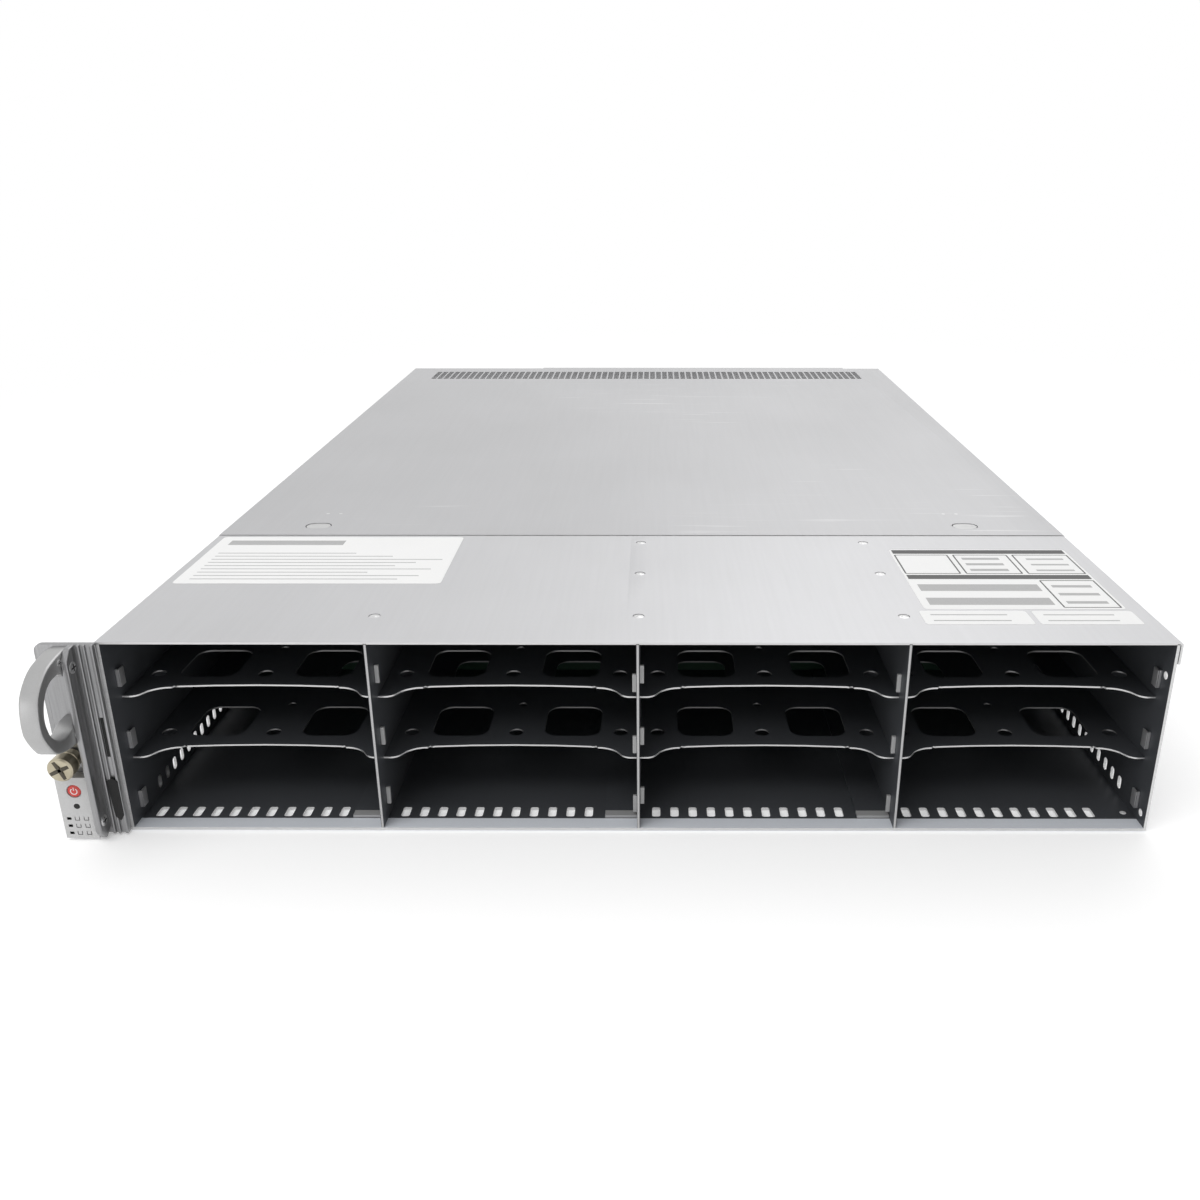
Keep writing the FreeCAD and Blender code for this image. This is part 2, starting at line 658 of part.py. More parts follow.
def riser_card():
    """The upright board that the full-height card slots plug into."""
    rear = PANEL_Y - SHEET - SLOT_BLANK_SHEET - CARD_GAP
    return block((CARD_X, CARD_X + BOARD_THICK), (rear - CARD_LENGTH, rear), (BOARD_TOP, COVER_UNDER - CARD_GAP))


# Power supplies

def psu_cage():
    """The sheet channel that guides the two power supplies."""
    front, rear = PSU_FACE - PSU_LENGTH - PSU_CONNECTOR, REAR - PSU_INSET
    partition = PSU_LEFT_EDGES[0] - PSU_GAP - PSU_PARTITION
    top = block((PSU_CAGE_RIGHT, WALL_IN), (front, rear), (PSU_CAGE_TOP, RISER_FLOOR))
    inner = block((PSU_CAGE_RIGHT, PSU_CAGE_RIGHT + SHEET), (front, rear), (SHEET, PSU_CAGE_TOP))
    middle = block((partition, partition + PSU_PARTITION), (front, rear), (SHEET, PSU_CAGE_TOP))
    outer = block((WALL_IN - SHEET, WALL_IN), (front, rear), (SHEET, PSU_CAGE_TOP))
    return joined(top, inner, middle, outer)


def power_board():
    """The upright board that the power supplies plug into, across the front end of their cage."""
    front = PSU_FACE - PSU_LENGTH - PSU_CONNECTOR
    return block((PSU_CAGE_RIGHT, WALL_IN - SLIP), (front - BACKPLANE_THICK, front), (SHEET, RISER_FLOOR))


def psu_places(left):
    """Fan and inlet centres of a power supply whose lower x edge is left."""
    fan_x = left + PSU_WIDTH - PSU_FAN_INSET
    inlet_x = fan_x - INLET_FROM_FAN - INLET_WIDTH / 2
    return fan_x, inlet_x


def inlet_z():
    return PSU_FLOOR + PSU_HEIGHT - INLET_HEIGHT / 2 - INLET_FROM_TOP


def psu_case(left):
    """A sheet-metal power supply: shell, fan guard, inlet window, lever slot and the bail's two lugs."""
    fan_x, inlet_x = psu_places(left)
    front, top = PSU_FACE - PSU_LENGTH, PSU_FLOOR + PSU_HEIGHT
    shell = block((left, left + PSU_WIDTH), (front, PSU_FACE), (PSU_FLOOR, top))
    hollow = block((left + PSU_WALL, left + PSU_WIDTH - PSU_WALL), (front + PSU_WALL, PSU_FACE - PSU_WALL),
                   (PSU_FLOOR + PSU_WALL, top - PSU_WALL))
    case = shell.cut(hollow)
    cuts = guard_openings(fan_x, BAIL_RISE)
    cuts.append(block((inlet_x - INLET_WIDTH / 2, inlet_x + INLET_WIDTH / 2), (PSU_FACE - 5, PSU_FACE + 5),
                      (inlet_z() - INLET_HEIGHT / 2, inlet_z() + INLET_HEIGHT / 2)))
    stem_low = left + LEVER_INSET + (LEVER_WIDTH - LEVER_STEM) / 2
    lever_z = PSU_FLOOR + PSU_WALL + LEVER_STEM_HEIGHT / 2 + SLIP
    cuts.append(block((stem_low - SLIP, stem_low + LEVER_STEM + LEVER_STROKE + SLIP), (PSU_FACE - 5, PSU_FACE + 5),
                      (lever_z - LEVER_STEM_HEIGHT / 2 - SLIP, lever_z + LEVER_STEM_HEIGHT / 2 + SLIP)))
    case = case.cut(cuts)
    wheel_front, wheel_rear = psu_rotor_span()
    strut_y = wheel_front - SLIP - PSU_STRUT_THICK
    strut = block((fan_x - PSU_STRUT / 2, fan_x + PSU_STRUT / 2), (strut_y, strut_y + PSU_STRUT_THICK),
                  (PSU_FLOOR, top))
    tip = wheel_rear - (wheel_rear - wheel_front) * CAP_SHARE - SLIP
    shaft = rod("y", fan_x, BAIL_RISE, PSU_SHAFT, strut_y, tip)
    lugs = [bail_lug(fan_x, side) for side in (-1, 1)]
    return joined(case, strut, shaft, *lugs)


def guard_openings(x, z):
    """The eight sector-shaped openings of a punched finger guard, between straight spokes."""
    ring = plate("y", PSU_FACE - 5, PSU_FACE + 5, polygon(x, z, PSU_FAN_RADIUS, GUARD_SIDES),
                 [polygon(x, z, PSU_HUB, GUARD_SIDES)])
    spokes = []
    for i in range(PSU_SPOKES):
        spoke = block((0, PSU_FAN_RADIUS + 2), (PSU_FACE - 6, PSU_FACE + 6),
                      (-PSU_SPOKE_WIDTH / 2, PSU_SPOKE_WIDTH / 2))
        spoke.rotate(V(0, 0, 0), V(0, 1, 0), 360.0 * (i + 0.5) / PSU_SPOKES)
        spoke.translate(V(x, 0, z))
        spokes.append(spoke)
    return ring.cut(spokes).Solids


def bail_lug(x, side):
    """A small ear on the power supply's face, bored for the bail's end."""
    inner = x + side * (BAIL_SPAN / 2 + SLIP)
    low, high = sorted((inner, inner + side * LUG_WIDTH))
    half = PIVOT_RADIUS + LUG_WALL
    pivot_y = PSU_FACE + BAIL_STANDOFF
    lug = block((low, high), (PSU_FACE, pivot_y + half), (BAIL_RISE - half, BAIL_RISE + half))
    return lug.cut(rod("x", pivot_y, BAIL_RISE, PIVOT_RADIUS + SHAFT_FIT, low - 1, high + 1))


def psu_bail(left, up):
    """The wire pull of a power supply, folded up or hanging down, with a pin at each end."""
    fan_x, _ = psu_places(left)
    way = 1 if up else -1
    half = BAIL_SPAN / 2
    end = BAIL_RISE - way * PIVOT_RADIUS * 1.6
    crown = BAIL_RISE + way * BAIL_REACH
    inner_corner = BAIL_CORNER - BAIL_WIRE
    outline = [
        (fan_x - half, end, 0), (fan_x - half, crown, BAIL_CORNER), (fan_x + half, crown, BAIL_CORNER),
        (fan_x + half, end, 0), (fan_x + half - BAIL_WIRE, end, 0),
        (fan_x + half - BAIL_WIRE, crown - way * BAIL_WIRE, inner_corner),
        (fan_x - half + BAIL_WIRE, crown - way * BAIL_WIRE, inner_corner), (fan_x - half + BAIL_WIRE, end, 0),
    ]
    middle = PSU_FACE + BAIL_STANDOFF
    loop = plate("y", middle - BAIL_WIRE / 2, middle + BAIL_WIRE / 2, outline)
    reach = SLIP + LUG_WIDTH
    pin = polygon(middle, BAIL_RISE, PIVOT_RADIUS * math.cos(math.pi / PIN_SIDES), PIN_SIDES)
    pins = [
        plate("x", fan_x - half - reach, fan_x - half + BAIL_WIRE / 2, pin),
        plate("x", fan_x + half - BAIL_WIRE / 2, fan_x + half + reach, pin),
    ]
    return joined(loop, *pins)


def psu_inlet(left):
    """The moulded mains inlet: a flanged block with a six-sided mouth."""
    _, inlet_x = psu_places(left)
    z = inlet_z()
    half = SOCKET_MOUTH_WIDTH / 2
    body = plate("y", PSU_FACE - INLET_DEPTH, PSU_FACE + INLET_PROUD, centred(inlet_x, z, INLET_WIDTH, INLET_HEIGHT))
    low, high = z - SOCKET_MOUTH_HEIGHT / 2, z + SOCKET_MOUTH_HEIGHT / 2
    mouth = [
        (inlet_x - half, low, 0), (inlet_x + half - SOCKET_CHAMFER, low, 0),
        (inlet_x + half, low + SOCKET_CHAMFER, 0), (inlet_x + half, high - SOCKET_CHAMFER, 0),
        (inlet_x + half - SOCKET_CHAMFER, high, 0), (inlet_x - half, high, 0),
    ]
    floor = PSU_FACE + INLET_PROUD - SOCKET_MOUTH_DEPTH
    return body.cut(plate("y", floor, PSU_FACE + INLET_PROUD + 1, mouth))


def psu_rotor_span():
    return PSU_FACE - PSU_WALL - PSU_FAN_DEPTH, PSU_FACE - PSU_WALL - PSU_ROTOR_GAP


def psu_rotor(left):
    fan_x, _ = psu_places(left)
    front, rear = psu_rotor_span()
    tip = PSU_FAN_RADIUS - PSU_ROTOR_GAP
    wheel = rotor(0, 0, -rear, -front, PSU_HUB - PSU_ROTOR_GAP, tip, PSU_SHAFT, PSU_BLADE, PSU_CHORD)
    wheel.rotate(V(0, 0, 0), V(0, 0, 1), 180)
    wheel.translate(V(fan_x, 0, BAIL_RISE))
    return wheel


def psu_lever(left):
    """The release lever: a wedge-shaped thumb tab on a stem through the face."""
    low = left + LEVER_INSET
    z = PSU_FLOOR + PSU_WALL + LEVER_STEM_HEIGHT / 2 + SLIP
    near, far = PSU_FACE + SLIP, PSU_FACE + LEVER_REACH
    outline = [
        (low, near, 0), (low + LEVER_WIDTH, near, 0), (low + LEVER_WIDTH, far, LEVER_CORNER),
        (low + LEVER_WIDTH * 0.6, far, LEVER_CORNER), (low, near + LEVER_REACH * 0.45, LEVER_CORNER),
    ]
    bottom = PSU_FLOOR + LEVER_RISE
    tab = plate("z", bottom, bottom + LEVER_HEIGHT, outline)
    stem_low = low + (LEVER_WIDTH - LEVER_STEM) / 2
    stem = block((stem_low, stem_low + LEVER_STEM), (PSU_FACE - LEVER_STEM_DEPTH, near),
                 (z - LEVER_STEM_HEIGHT / 2, z + LEVER_STEM_HEIGHT / 2))
    return joined(tab, stem)


# Rear panels

def rear_vent_panel():
    """The perforated corner panel above the power supplies."""
    left = WALL_IN - VENT_PANEL_WIDTH
    z = (RISER_FLOOR + PANEL_TOP) / 2
    holes = grid(WALL_IN - CORNER_VENT_X, z, 3, 3, CORNER_VENT_PITCH, CORNER_VENT_PITCH, CORNER_VENT, CORNER_VENT)
    return plate("y", REAR - SHEET, REAR, rect((left, WALL_IN), (RISER_FLOOR, PANEL_TOP)), holes)


LEFT_BAY_EDGE = WALL_IN - VENT_PANEL_WIDTH - SLIP
LEFT_BAY_X = (LEFT_BAY_EDGE + PSU_CAGE_RIGHT) / 2
LEFT_BAY_HEIGHT = PANEL_TOP - RISER_FLOOR
LEFT_CARD_Z = RISER_FLOOR + LEFT_BAY_HEIGHT * LEFT_CARD_SHARE
LATCH_LEFT = (LEFT_BAY_EDGE + LATCH_EAR / 2, RISER_FLOOR + LEFT_BAY_HEIGHT * LATCH_SHARE)
LATCH_PIN_REACH = 5.5


def riser_bracket_left():
    """The frame of the upper left card slot: slot plate, floor ledge, side return and the latch's ear."""
    back = PANEL_Y - SHEET
    right = PSU_CAGE_RIGHT
    window = centred(LEFT_BAY_X, LEFT_CARD_Z, SLOT_WIDTH - 2 * STRIP_INSET, SLOT_WINDOW)
    strips = strip_holes(LEFT_BAY_X, LEFT_CARD_Z - SLOT_WINDOW / 2 - STRIP_HOLE_HEIGHT)
    strips += strip_holes(LEFT_BAY_X, LEFT_CARD_Z + SLOT_WINDOW / 2 + STRIP_HOLE_HEIGHT)
    vents = grid(LEFT_BAY_X, PANEL_TOP - VENT_PITCH, STRIP_HOLES, 1, VENT_PITCH, VENT_PITCH, VENT_HOLE, VENT_HOLE)
    slot_plate = plate("y", back, PANEL_Y, rect((right, LEFT_BAY_EDGE), (RISER_FLOOR, PANEL_TOP)),
                       [window, *strips, *vents])
    ledge = block((right, LEFT_BAY_EDGE), (PANEL_Y, REAR), (RISER_FLOOR, RISER_FLOOR + SHEET))
    side = block((LEFT_BAY_EDGE - SHEET, LEFT_BAY_EDGE), (PANEL_Y, REAR + SLIP), (RISER_FLOOR, PANEL_TOP))
    ear = block((LEFT_BAY_EDGE - SHEET, LEFT_BAY_EDGE + LATCH_EAR), (REAR + SLIP, REAR + SLIP + SHEET),
                (RISER_FLOOR, CHASSIS_HEIGHT - LID_LIP - SLIP))
    pin = rod("y", *LATCH_LEFT, LATCH_PIN, REAR + SLIP, REAR + SLIP + SHEET + LATCH_PIN_REACH)
    return joined(slot_plate, ledge, side, ear, pin)


def strip_holes(x, z):
    pitch = (SLOT_WIDTH - 2 * STRIP_INSET) / STRIP_HOLES
    return grid(x, z, STRIP_HOLES, 1, pitch, pitch, pitch - STRIP_BAR, STRIP_HOLE_HEIGHT)


def card_bracket(x, z, y):
    """A perforated card bracket whose face closes a slot window from behind."""
    holes = grid(x - CARD_VENT_OFFSET, z, CARD_VENT_COLUMNS, CARD_VENT_ROWS, CARD_VENT_WIDTH + CARD_VENT_BAR,
                 CARD_VENT_HEIGHT + CARD_VENT_BAR, CARD_VENT_WIDTH, CARD_VENT_HEIGHT)
    face = centred(x, z, SLOT_WIDTH - SLOT_LAP, SLOT_BLANK_HEIGHT)
    return plate("y", y - SLOT_BLANK_SHEET, y, face, holes)


MIDDLE_RIGHT = MIDDLE_BAY_LEFT - MIDDLE_BAY_WIDTH
MIDDLE_FLOOR = RISER_FLOOR + SHEET
LATCH_MIDDLE = (LATCH_MIDDLE_X, MIDDLE_FLOOR - math.hypot(LATCH_LENGTH, LATCH_WIDTH) / 2 - SLIP)
LATCH_TAB_Y = PANEL_Y + LATCH_TAB_PROUD
MIDDLE_REAR = REAR - MIDDLE_REAR_INSET


def riser_bracket_middle():
    """The open low-profile card bay: floor, two side walls and a perforated back, with a hanging latch tab."""
    left, right = MIDDLE_BAY_LEFT, MIDDLE_RIGHT
    back = REAR - MIDDLE_BAY_DEPTH
    x, z = (left + right) / 2, (MIDDLE_FLOOR + PANEL_TOP) / 2
    pitch = MIDDLE_BAY_WIDTH / (STRIP_HOLES + 1)
    vents = grid(x, z, STRIP_HOLES, 2, pitch, VENT_PITCH, pitch - STRIP_BAR, VENT_HOLE)
    rear_wall = plate("y", back - SHEET, back, rect((right, left), (MIDDLE_FLOOR, PANEL_TOP)), vents)
    floor = block((right, left), (back, MIDDLE_REAR), (MIDDLE_FLOOR, MIDDLE_FLOOR + SHEET))
    walls = [
        block((right, right + SHEET), (back, MIDDLE_REAR), (MIDDLE_FLOOR, PANEL_TOP)),
        block((left - SHEET, left), (back, MIDDLE_REAR), (MIDDLE_FLOOR, PANEL_TOP)),
    ]
    latch_x, latch_z = LATCH_MIDDLE
    tab = block((latch_x - LATCH_TAB_WIDTH / 2, latch_x + LATCH_TAB_WIDTH / 2), (LATCH_TAB_Y, LATCH_TAB_Y + SHEET),
                (latch_z - LATCH_TAB_DROP, MIDDLE_FLOOR))
    pin = rod("y", latch_x, latch_z, LATCH_PIN, LATCH_TAB_Y, LATCH_TAB_Y + SHEET + LATCH_PIN_REACH)
    return joined(rear_wall, floor, *walls, tab, pin)


def riser_latch(x, z, y):
    """A turn-latch of moulded plastic: a bar with rounded ends on a bored hub."""
    half = LATCH_LENGTH / 2
    low = y + SHEET + SLIP
    bar = plate("y", low, low + LATCH_THICK, rect((-half, half), (-LATCH_WIDTH / 2, LATCH_WIDTH / 2)))
    bore = rod("y", 0, 0, LATCH_PIN + SHAFT_FIT, low - 1, y + SHEET + LATCH_PIN_REACH + SLIP)
    bar = bar.cut(bore)
    bar.rotate(V(0, 0, 0), V(0, 1, 0), -LATCH_TILT)
    bar.translate(V(x, 0, z))
    return bar


PORT_GAP = 0.3


def port_window(x, width, low, height):
    return centred(x, low + height / 2, width + 2 * PORT_GAP, height + 2 * PORT_GAP)


def dsub_z():
    return BOARD_TOP + DSUB_RISE


def io_panel():
    """The connector panel: an L-shaped plate with a window for each connector and rows of square vents."""
    top = MIDDLE_FLOOR - SLIP
    tower = MIDDLE_RIGHT - SLIP
    right = POST_LEFT + SLIP
    outline = [
        (PANEL_LEFT, SHEET, 0), (PANEL_LEFT, top, 0), (tower, top, 0), (tower, PANEL_TOP, 0),
        (right, PANEL_TOP, 0), (right, SHEET, 0),
    ]
    shell = (DSUB_SHELL_WIDTH, dsub_z() - DSUB_SHELL_HEIGHT / 2, DSUB_SHELL_HEIGHT)
    holes = [
        port_window(LAN_X, LAN_WIDTH, BOARD_TOP, LAN_HEIGHT),
        port_window(USB_X, USB_WIDTH, BOARD_TOP, USB_HEIGHT),
        port_window(MGMT_X, MGMT_WIDTH, BOARD_TOP, MGMT_HEIGHT),
        port_window(SERIAL_X, *shell),
        port_window(VGA_X, *shell),
    ]
    holes += [port_window(x, SFP_WIDTH, BOARD_TOP + SFP_RISE, SFP_HEIGHT) for x in SFP_X]
    vent = (IO_VENT_PITCH, IO_VENT_PITCH, IO_VENT, IO_VENT)
    holes += grid(LAN_X, top - IO_VENT_PITCH, 3, 1, *vent)
    holes += grid(MGMT_X, top - IO_VENT_PITCH, 3, 1, *vent)
    holes += grid((tower + right) / 2, (top + PANEL_TOP) / 2, 2, 3, *vent)
    return plate("y", PANEL_Y - SHEET, PANEL_Y, outline, holes)


def port_block(x, width, height, mouths, depth):
    """A connector body that stands on the board and reaches out through its window."""
    front = PANEL_Y - PORT_DEPTH
    rear = PANEL_Y + PORT_PROUD
    body = block((x - width / 2, x + width / 2), (front, rear), (BOARD_TOP, BOARD_TOP + height))
    return body.cut([plate("y", rear - depth, rear + 1, mouth) for mouth in mouths])


def jack_mouth(x, z, turn):
    """A network jack's mouth: a rectangle with a notch for the plug's clip, turned by quarter turns."""
    half, notch = JACK_MOUTH_WIDTH / 2, JACK_NOTCH_WIDTH / 2
    low, high = -JACK_MOUTH_HEIGHT / 2, JACK_MOUTH_HEIGHT / 2
    points = [
        (-half, low), (half, low), (half, high), (notch, high), (notch, high + JACK_NOTCH_HEIGHT),
        (-notch, high + JACK_NOTCH_HEIGHT), (-notch, high), (-half, high),
    ]
    c, s = [(1, 0), (0, 1), (-1, 0), (0, -1)][turn]
    return [(x + c * u - s * v, z + s * u + c * v, 0) for u, v in points]


def lan_ports():
    """Two network jacks side by side in one shield, with their clips outward."""
    z = BOARD_TOP + LAN_HEIGHT / 2
    offset = LAN_WIDTH / 2 - PORT_WALL - JACK_NOTCH_HEIGHT - JACK_MOUTH_HEIGHT / 2
    mouths = [jack_mouth(LAN_X - offset, z, 1), jack_mouth(LAN_X + offset, z, 3)]
    return port_block(LAN_X, LAN_WIDTH, LAN_HEIGHT, mouths, JACK_MOUTH_DEPTH)


def mgmt_port():
    """A single network jack with its clip upward."""
    z = BOARD_TOP + PORT_WALL + JACK_MOUTH_HEIGHT / 2
    return port_block(MGMT_X, MGMT_WIDTH, MGMT_HEIGHT, [jack_mouth(MGMT_X, z, 0)], JACK_MOUTH_DEPTH)


def usb_ports():
    """Two stacked serial-bus sockets, each a slot with a contact tongue."""
    rows = [BOARD_TOP + USB_HEIGHT * share for share in (0.3, 0.72)]
    width = USB_WIDTH - 2 * PORT_WALL
    mouths = [centred(USB_X, z, width, USB_MOUTH_HEIGHT) for z in rows]
    body = port_block(USB_X, USB_WIDTH, USB_HEIGHT, mouths, JACK_MOUTH_DEPTH)
    rear = PANEL_Y + PORT_PROUD
    tongues = [
        block((USB_X - width / 2 + PORT_WALL, USB_X + width / 2 - PORT_WALL),
              (rear - JACK_MOUTH_DEPTH, rear - PORT_PROUD), (z, z + USB_TONGUE))
        for z in rows
    ]
    return joined(body, *tongues)


def dsub_outline(x, z, width, height):
    """The D shape of a sub-miniature connector: the lower edge is shorter than the upper."""
    lean = height * math.tan(math.radians(10))
    return [
        (x - width / 2, z + height / 2, 0), (x + width / 2, z + height / 2, 0),
        (x + width / 2 - lean, z - height / 2, 0), (x - width / 2 + lean, z - height / 2, 0),
    ]


def dsub_port(x, mouth_depth):
    """A D connector: flange outside the panel, body behind it, shell and two hexagonal jack screws."""
    z = dsub_z()
    flange = plate("y", PANEL_Y, PANEL_Y + 1, centred(x, z, DSUB_FLANGE_WIDTH, DSUB_FLANGE_HEIGHT))
    width, height = DSUB_SHELL_WIDTH, DSUB_SHELL_HEIGHT
    shell = plate("y", PANEL_Y + 1, PANEL_Y + DSUB_SHELL_REACH, dsub_outline(x, z, width, height))
    body = block((x - width / 2, x + width / 2), (PANEL_Y - PORT_DEPTH, PANEL_Y), (z - height / 2, z + height / 2))
    foot = block((x - width / 2, x + width / 2), (PANEL_Y - PORT_DEPTH, PANEL_Y - SHEET - PORT_GAP),
                 (BOARD_TOP, z - height / 2))
    mouth_floor = PANEL_Y + DSUB_SHELL_REACH - mouth_depth
    mouth = plate("y", mouth_floor, PANEL_Y + DSUB_SHELL_REACH + 1, dsub_outline(x, z, width - 1.2, height - 1.2))
    screws = []
    for side in (-1, 1):
        nut = polygon(x + side * DSUB_SCREW_PITCH / 2, z, DSUB_SCREW_RADIUS)
        screws.append(plate("y", PANEL_Y + 1, PANEL_Y + DSUB_SCREW_LENGTH, nut))
    return joined(flange, shell, body, foot, *screws).cut(mouth)


def network_panel():
    """The cover plate of the network adapter, over the connector panel."""
    low = BOARD_TOP + NETWORK_RISE
    right = NETWORK_LEFT - NETWORK_WIDTH
    holes = [port_window(x, SFP_WIDTH, BOARD_TOP + SFP_RISE, SFP_HEIGHT) for x in SFP_X]
    return plate("y", PANEL_Y, PANEL_Y + 1, rect((right, NETWORK_LEFT), (low, low + NETWORK_HEIGHT)), holes)


def sfp_cages():
    """Two folded-sheet transceiver cages, open to the rear."""
    cages = []
    z = BOARD_TOP + SFP_RISE + SFP_HEIGHT / 2
    for x in SFP_X:
        tube = plate("y", PANEL_Y - SFP_LENGTH, PANEL_Y + 1 + PORT_PROUD, centred(x, z, SFP_WIDTH, SFP_HEIGHT))
        mouth = plate("y", PANEL_Y - SFP_LENGTH + 1, PANEL_Y + 9, centred(x, z, SFP_WIDTH - 1, SFP_HEIGHT - 1))
        cages.append(tube.cut(mouth))
    return group(*cages)


def rear_post():
    """The perforated channel between the connectors and the full-height slots, with a screw hole at its foot."""
    z0, z1 = SHEET, PANEL_TOP
    holes = grid(POST_X, z0 + POST_ROW * 7, 1, POST_VENT_ROWS, VENT_PITCH, 2 * POST_ROW, VENT_HOLE, POST_ROW * 1.6)
    screw = [(POST_X, z0 + POST_ROW, POST_SCREW_RADIUS)]
    face = plate("y", REAR - SHEET, REAR, rect((POST_RIGHT, POST_LEFT), (z0, z1)), [*holes, screw])
    sides = [block((low, low + SHEET), (PANEL_Y, REAR - SHEET), (z0, z1))
             for low in (POST_RIGHT, POST_LEFT - SHEET)]
    return joined(face, *sides)


SLOT_X = -WALL_IN + CORNER_POST_WIDTH + SLOT_FROM_CORNER + SLOT_WIDTH / 2
SLOT_ZS = [SHEET + SLOT_FOOT + (i + 0.5) * SLOT_PITCH for i in range(SLOTS)]


def slot_frame():
    """The plate with four full-height slot windows and an air strip above each of the lower three."""
    outline = rect((-WALL_IN, POST_LEFT - SLIP), (SHEET, PANEL_TOP))
    holes = [centred(SLOT_X, z, SLOT_WIDTH, SLOT_WINDOW) for z in SLOT_ZS]
    for z in SLOT_ZS[:-1]:
        holes += strip_holes(SLOT_X, z + SLOT_PITCH / 2)
    return plate("y", PANEL_Y - SHEET, PANEL_Y, outline, holes)


def slot_blanks():
    """Blank brackets behind the three unused slot windows."""
    y = PANEL_Y - SHEET
    return group(*[
        plate("y", y - SLOT_BLANK_SHEET, y, centred(SLOT_X, z, SLOT_WIDTH + 2 * SLOT_SIDE_LAP,
                                                           SLOT_BLANK_HEIGHT))
        for z in SLOT_ZS[:-1]
    ])


def corner_post():
    """The perforated corner sheet beside the slots, with a return to the slot frame and two holes."""
    x = (CORNER_LEFT - WALL_IN) / 2
    vent = (VENT_PITCH, 2 * POST_ROW, VENT_HOLE, POST_ROW * 1.6)
    holes = grid(x, SHEET + POST_ROW * 9, 1, 3, *vent)
    holes += grid(x, SHEET + POST_ROW * 3, 1, 1, *vent)
    holes += [[(x, SHEET + POST_ROW * 5.2, CORNER_HOLE_RADIUS)], [(x, SHEET + POST_ROW, POST_SCREW_RADIUS)]]
    face = plate("y", REAR - SHEET, REAR, rect((-WALL_IN, CORNER_LEFT), (SHEET, PANEL_TOP)), holes)
    side = block((CORNER_LEFT - SHEET, CORNER_LEFT), (PANEL_Y, REAR - SHEET), (SHEET, PANEL_TOP))
    return joined(face, side)


# Lid

def button_loop(x, length, width):
    return centred(x, SEAM + BUTTON_FROM_SEAM, length, width, width / 2 - 0.01)


def lid():
    """The lift-off cover: a vented top sheet with two button holes, and the flanges and lips bent down from it."""
    front = SEAM + LID_SEAM_GAP
    tongue_right = LID_TONGUE_LEFT - LID_TONGUE_WIDTH
    corner = REAR + SLIP + COVER_SHEET
    tongue = REAR + LID_TONGUE_REACH
    outline = [
        (-HALF_WIDTH, front, 0), (HALF_WIDTH, front, 0), (HALF_WIDTH, corner, 0), (LID_TONGUE_LEFT, corner, 0),
        (LID_TONGUE_LEFT, tongue, 0), (tongue_right, tongue, 0), (tongue_right, corner, 0),
        (-HALF_WIDTH, corner, 0),
    ]
    pitch = LID_VENT_WIDTH / VENT_COLUMNS
    vent_y = REAR - LID_VENT_FROM_REAR - (VENT_ROWS - 1) / 2 * LID_VENT_PITCH
    vents = grid(0, vent_y, VENT_COLUMNS, VENT_ROWS, pitch, LID_VENT_PITCH, pitch - LID_VENT_BAR, LID_VENT_HOLE)
    holes = [button_loop(x, BUTTON_LENGTH + 2 * SLIP, BUTTON_WIDTH + 2 * SLIP) for x in (-BUTTON_X, BUTTON_X)]
    top = plate("z", COVER_UNDER, CHASSIS_HEIGHT, outline, [*vents, *holes])
    lips = [
        block((tongue_right, LID_TONGUE_LEFT), (tongue - COVER_SHEET, tongue),
              (CHASSIS_HEIGHT - LID_LIP, COVER_UNDER)),
        block((LID_TONGUE_LEFT + SLIP, HALF_WIDTH), (corner - COVER_SHEET, corner),
              (CHASSIS_HEIGHT - LID_CORNER_LIP, COVER_UNDER)),
        block((-HALF_WIDTH, CORNER_LEFT), (corner - COVER_SHEET, corner),
              (CHASSIS_HEIGHT - LID_CORNER_LIP, COVER_UNDER)),
    ]
    return group(top, *cover_flanges(front, REAR), *lips)


def lid_button(x):
    """A push button that sits flush in the lid, held by a rim under the sheet."""
    rim_top = COVER_UNDER - SLIP
    rim = plate("z", rim_top - BUTTON_RIM_THICK, rim_top,
                centred(x, SEAM + BUTTON_FROM_SEAM, BUTTON_LENGTH + 2 * BUTTON_RIM, BUTTON_WIDTH + 2 * BUTTON_RIM))
    cap = plate("z", rim_top, CHASSIS_HEIGHT - SLIP, button_loop(x, BUTTON_LENGTH, BUTTON_WIDTH))
    return joined(rim, cap)


# Ear

def ear_bracket():
    """The rack ear, an extrusion: flange, forward fin, grooved strip, and a leg along the side wall."""
    inner = -WALL_OUT
    fin_right = FIN_LEFT + FIN_SHEET
    fin_front = EAR_FACE - FIN_REACH
    pitch = (inner - fin_right) / (EAR_RIBS + 1)
    outline = [
        (EAR_EDGE, FRONT, 0), (EAR_EDGE, EAR_FACE, 0), (FIN_LEFT, EAR_FACE, 0), (FIN_LEFT, fin_front, 0.8),
        (fin_right, fin_front, 0.8), (fin_right, EAR_FACE, 0),
    ]
    for i in range(EAR_RIBS):
        rib = fin_right + (i + 1) * pitch
        outline += [
            (rib - EAR_RIB / 2, EAR_FACE, 0), (rib - EAR_RIB / 2, EAR_FACE - EAR_RIB, 0),
            (rib + EAR_RIB / 2, EAR_FACE - EAR_RIB, 0), (rib + EAR_RIB / 2, EAR_FACE, 0),
        ]
    outline += [(inner, EAR_FACE, 0), (inner, FRONT, 0)]
    profile = plate("z", SLIP, CHASSIS_HEIGHT - SLIP, outline)
    leg_top = CHASSIS_HEIGHT - COVER_FLANGE - SLIP
    leg = block((inner - EAR_LEG_SHEET, inner), (FRONT, FRONT + EAR_LEG), (SHEET, leg_top))
    bore = rod("y", CONTROL_X, THUMB_RISE, THUMB_SHANK + SHAFT_FIT, EAR_FACE - 1, FRONT + 1)
    return joined(profile, leg).cut(bore)


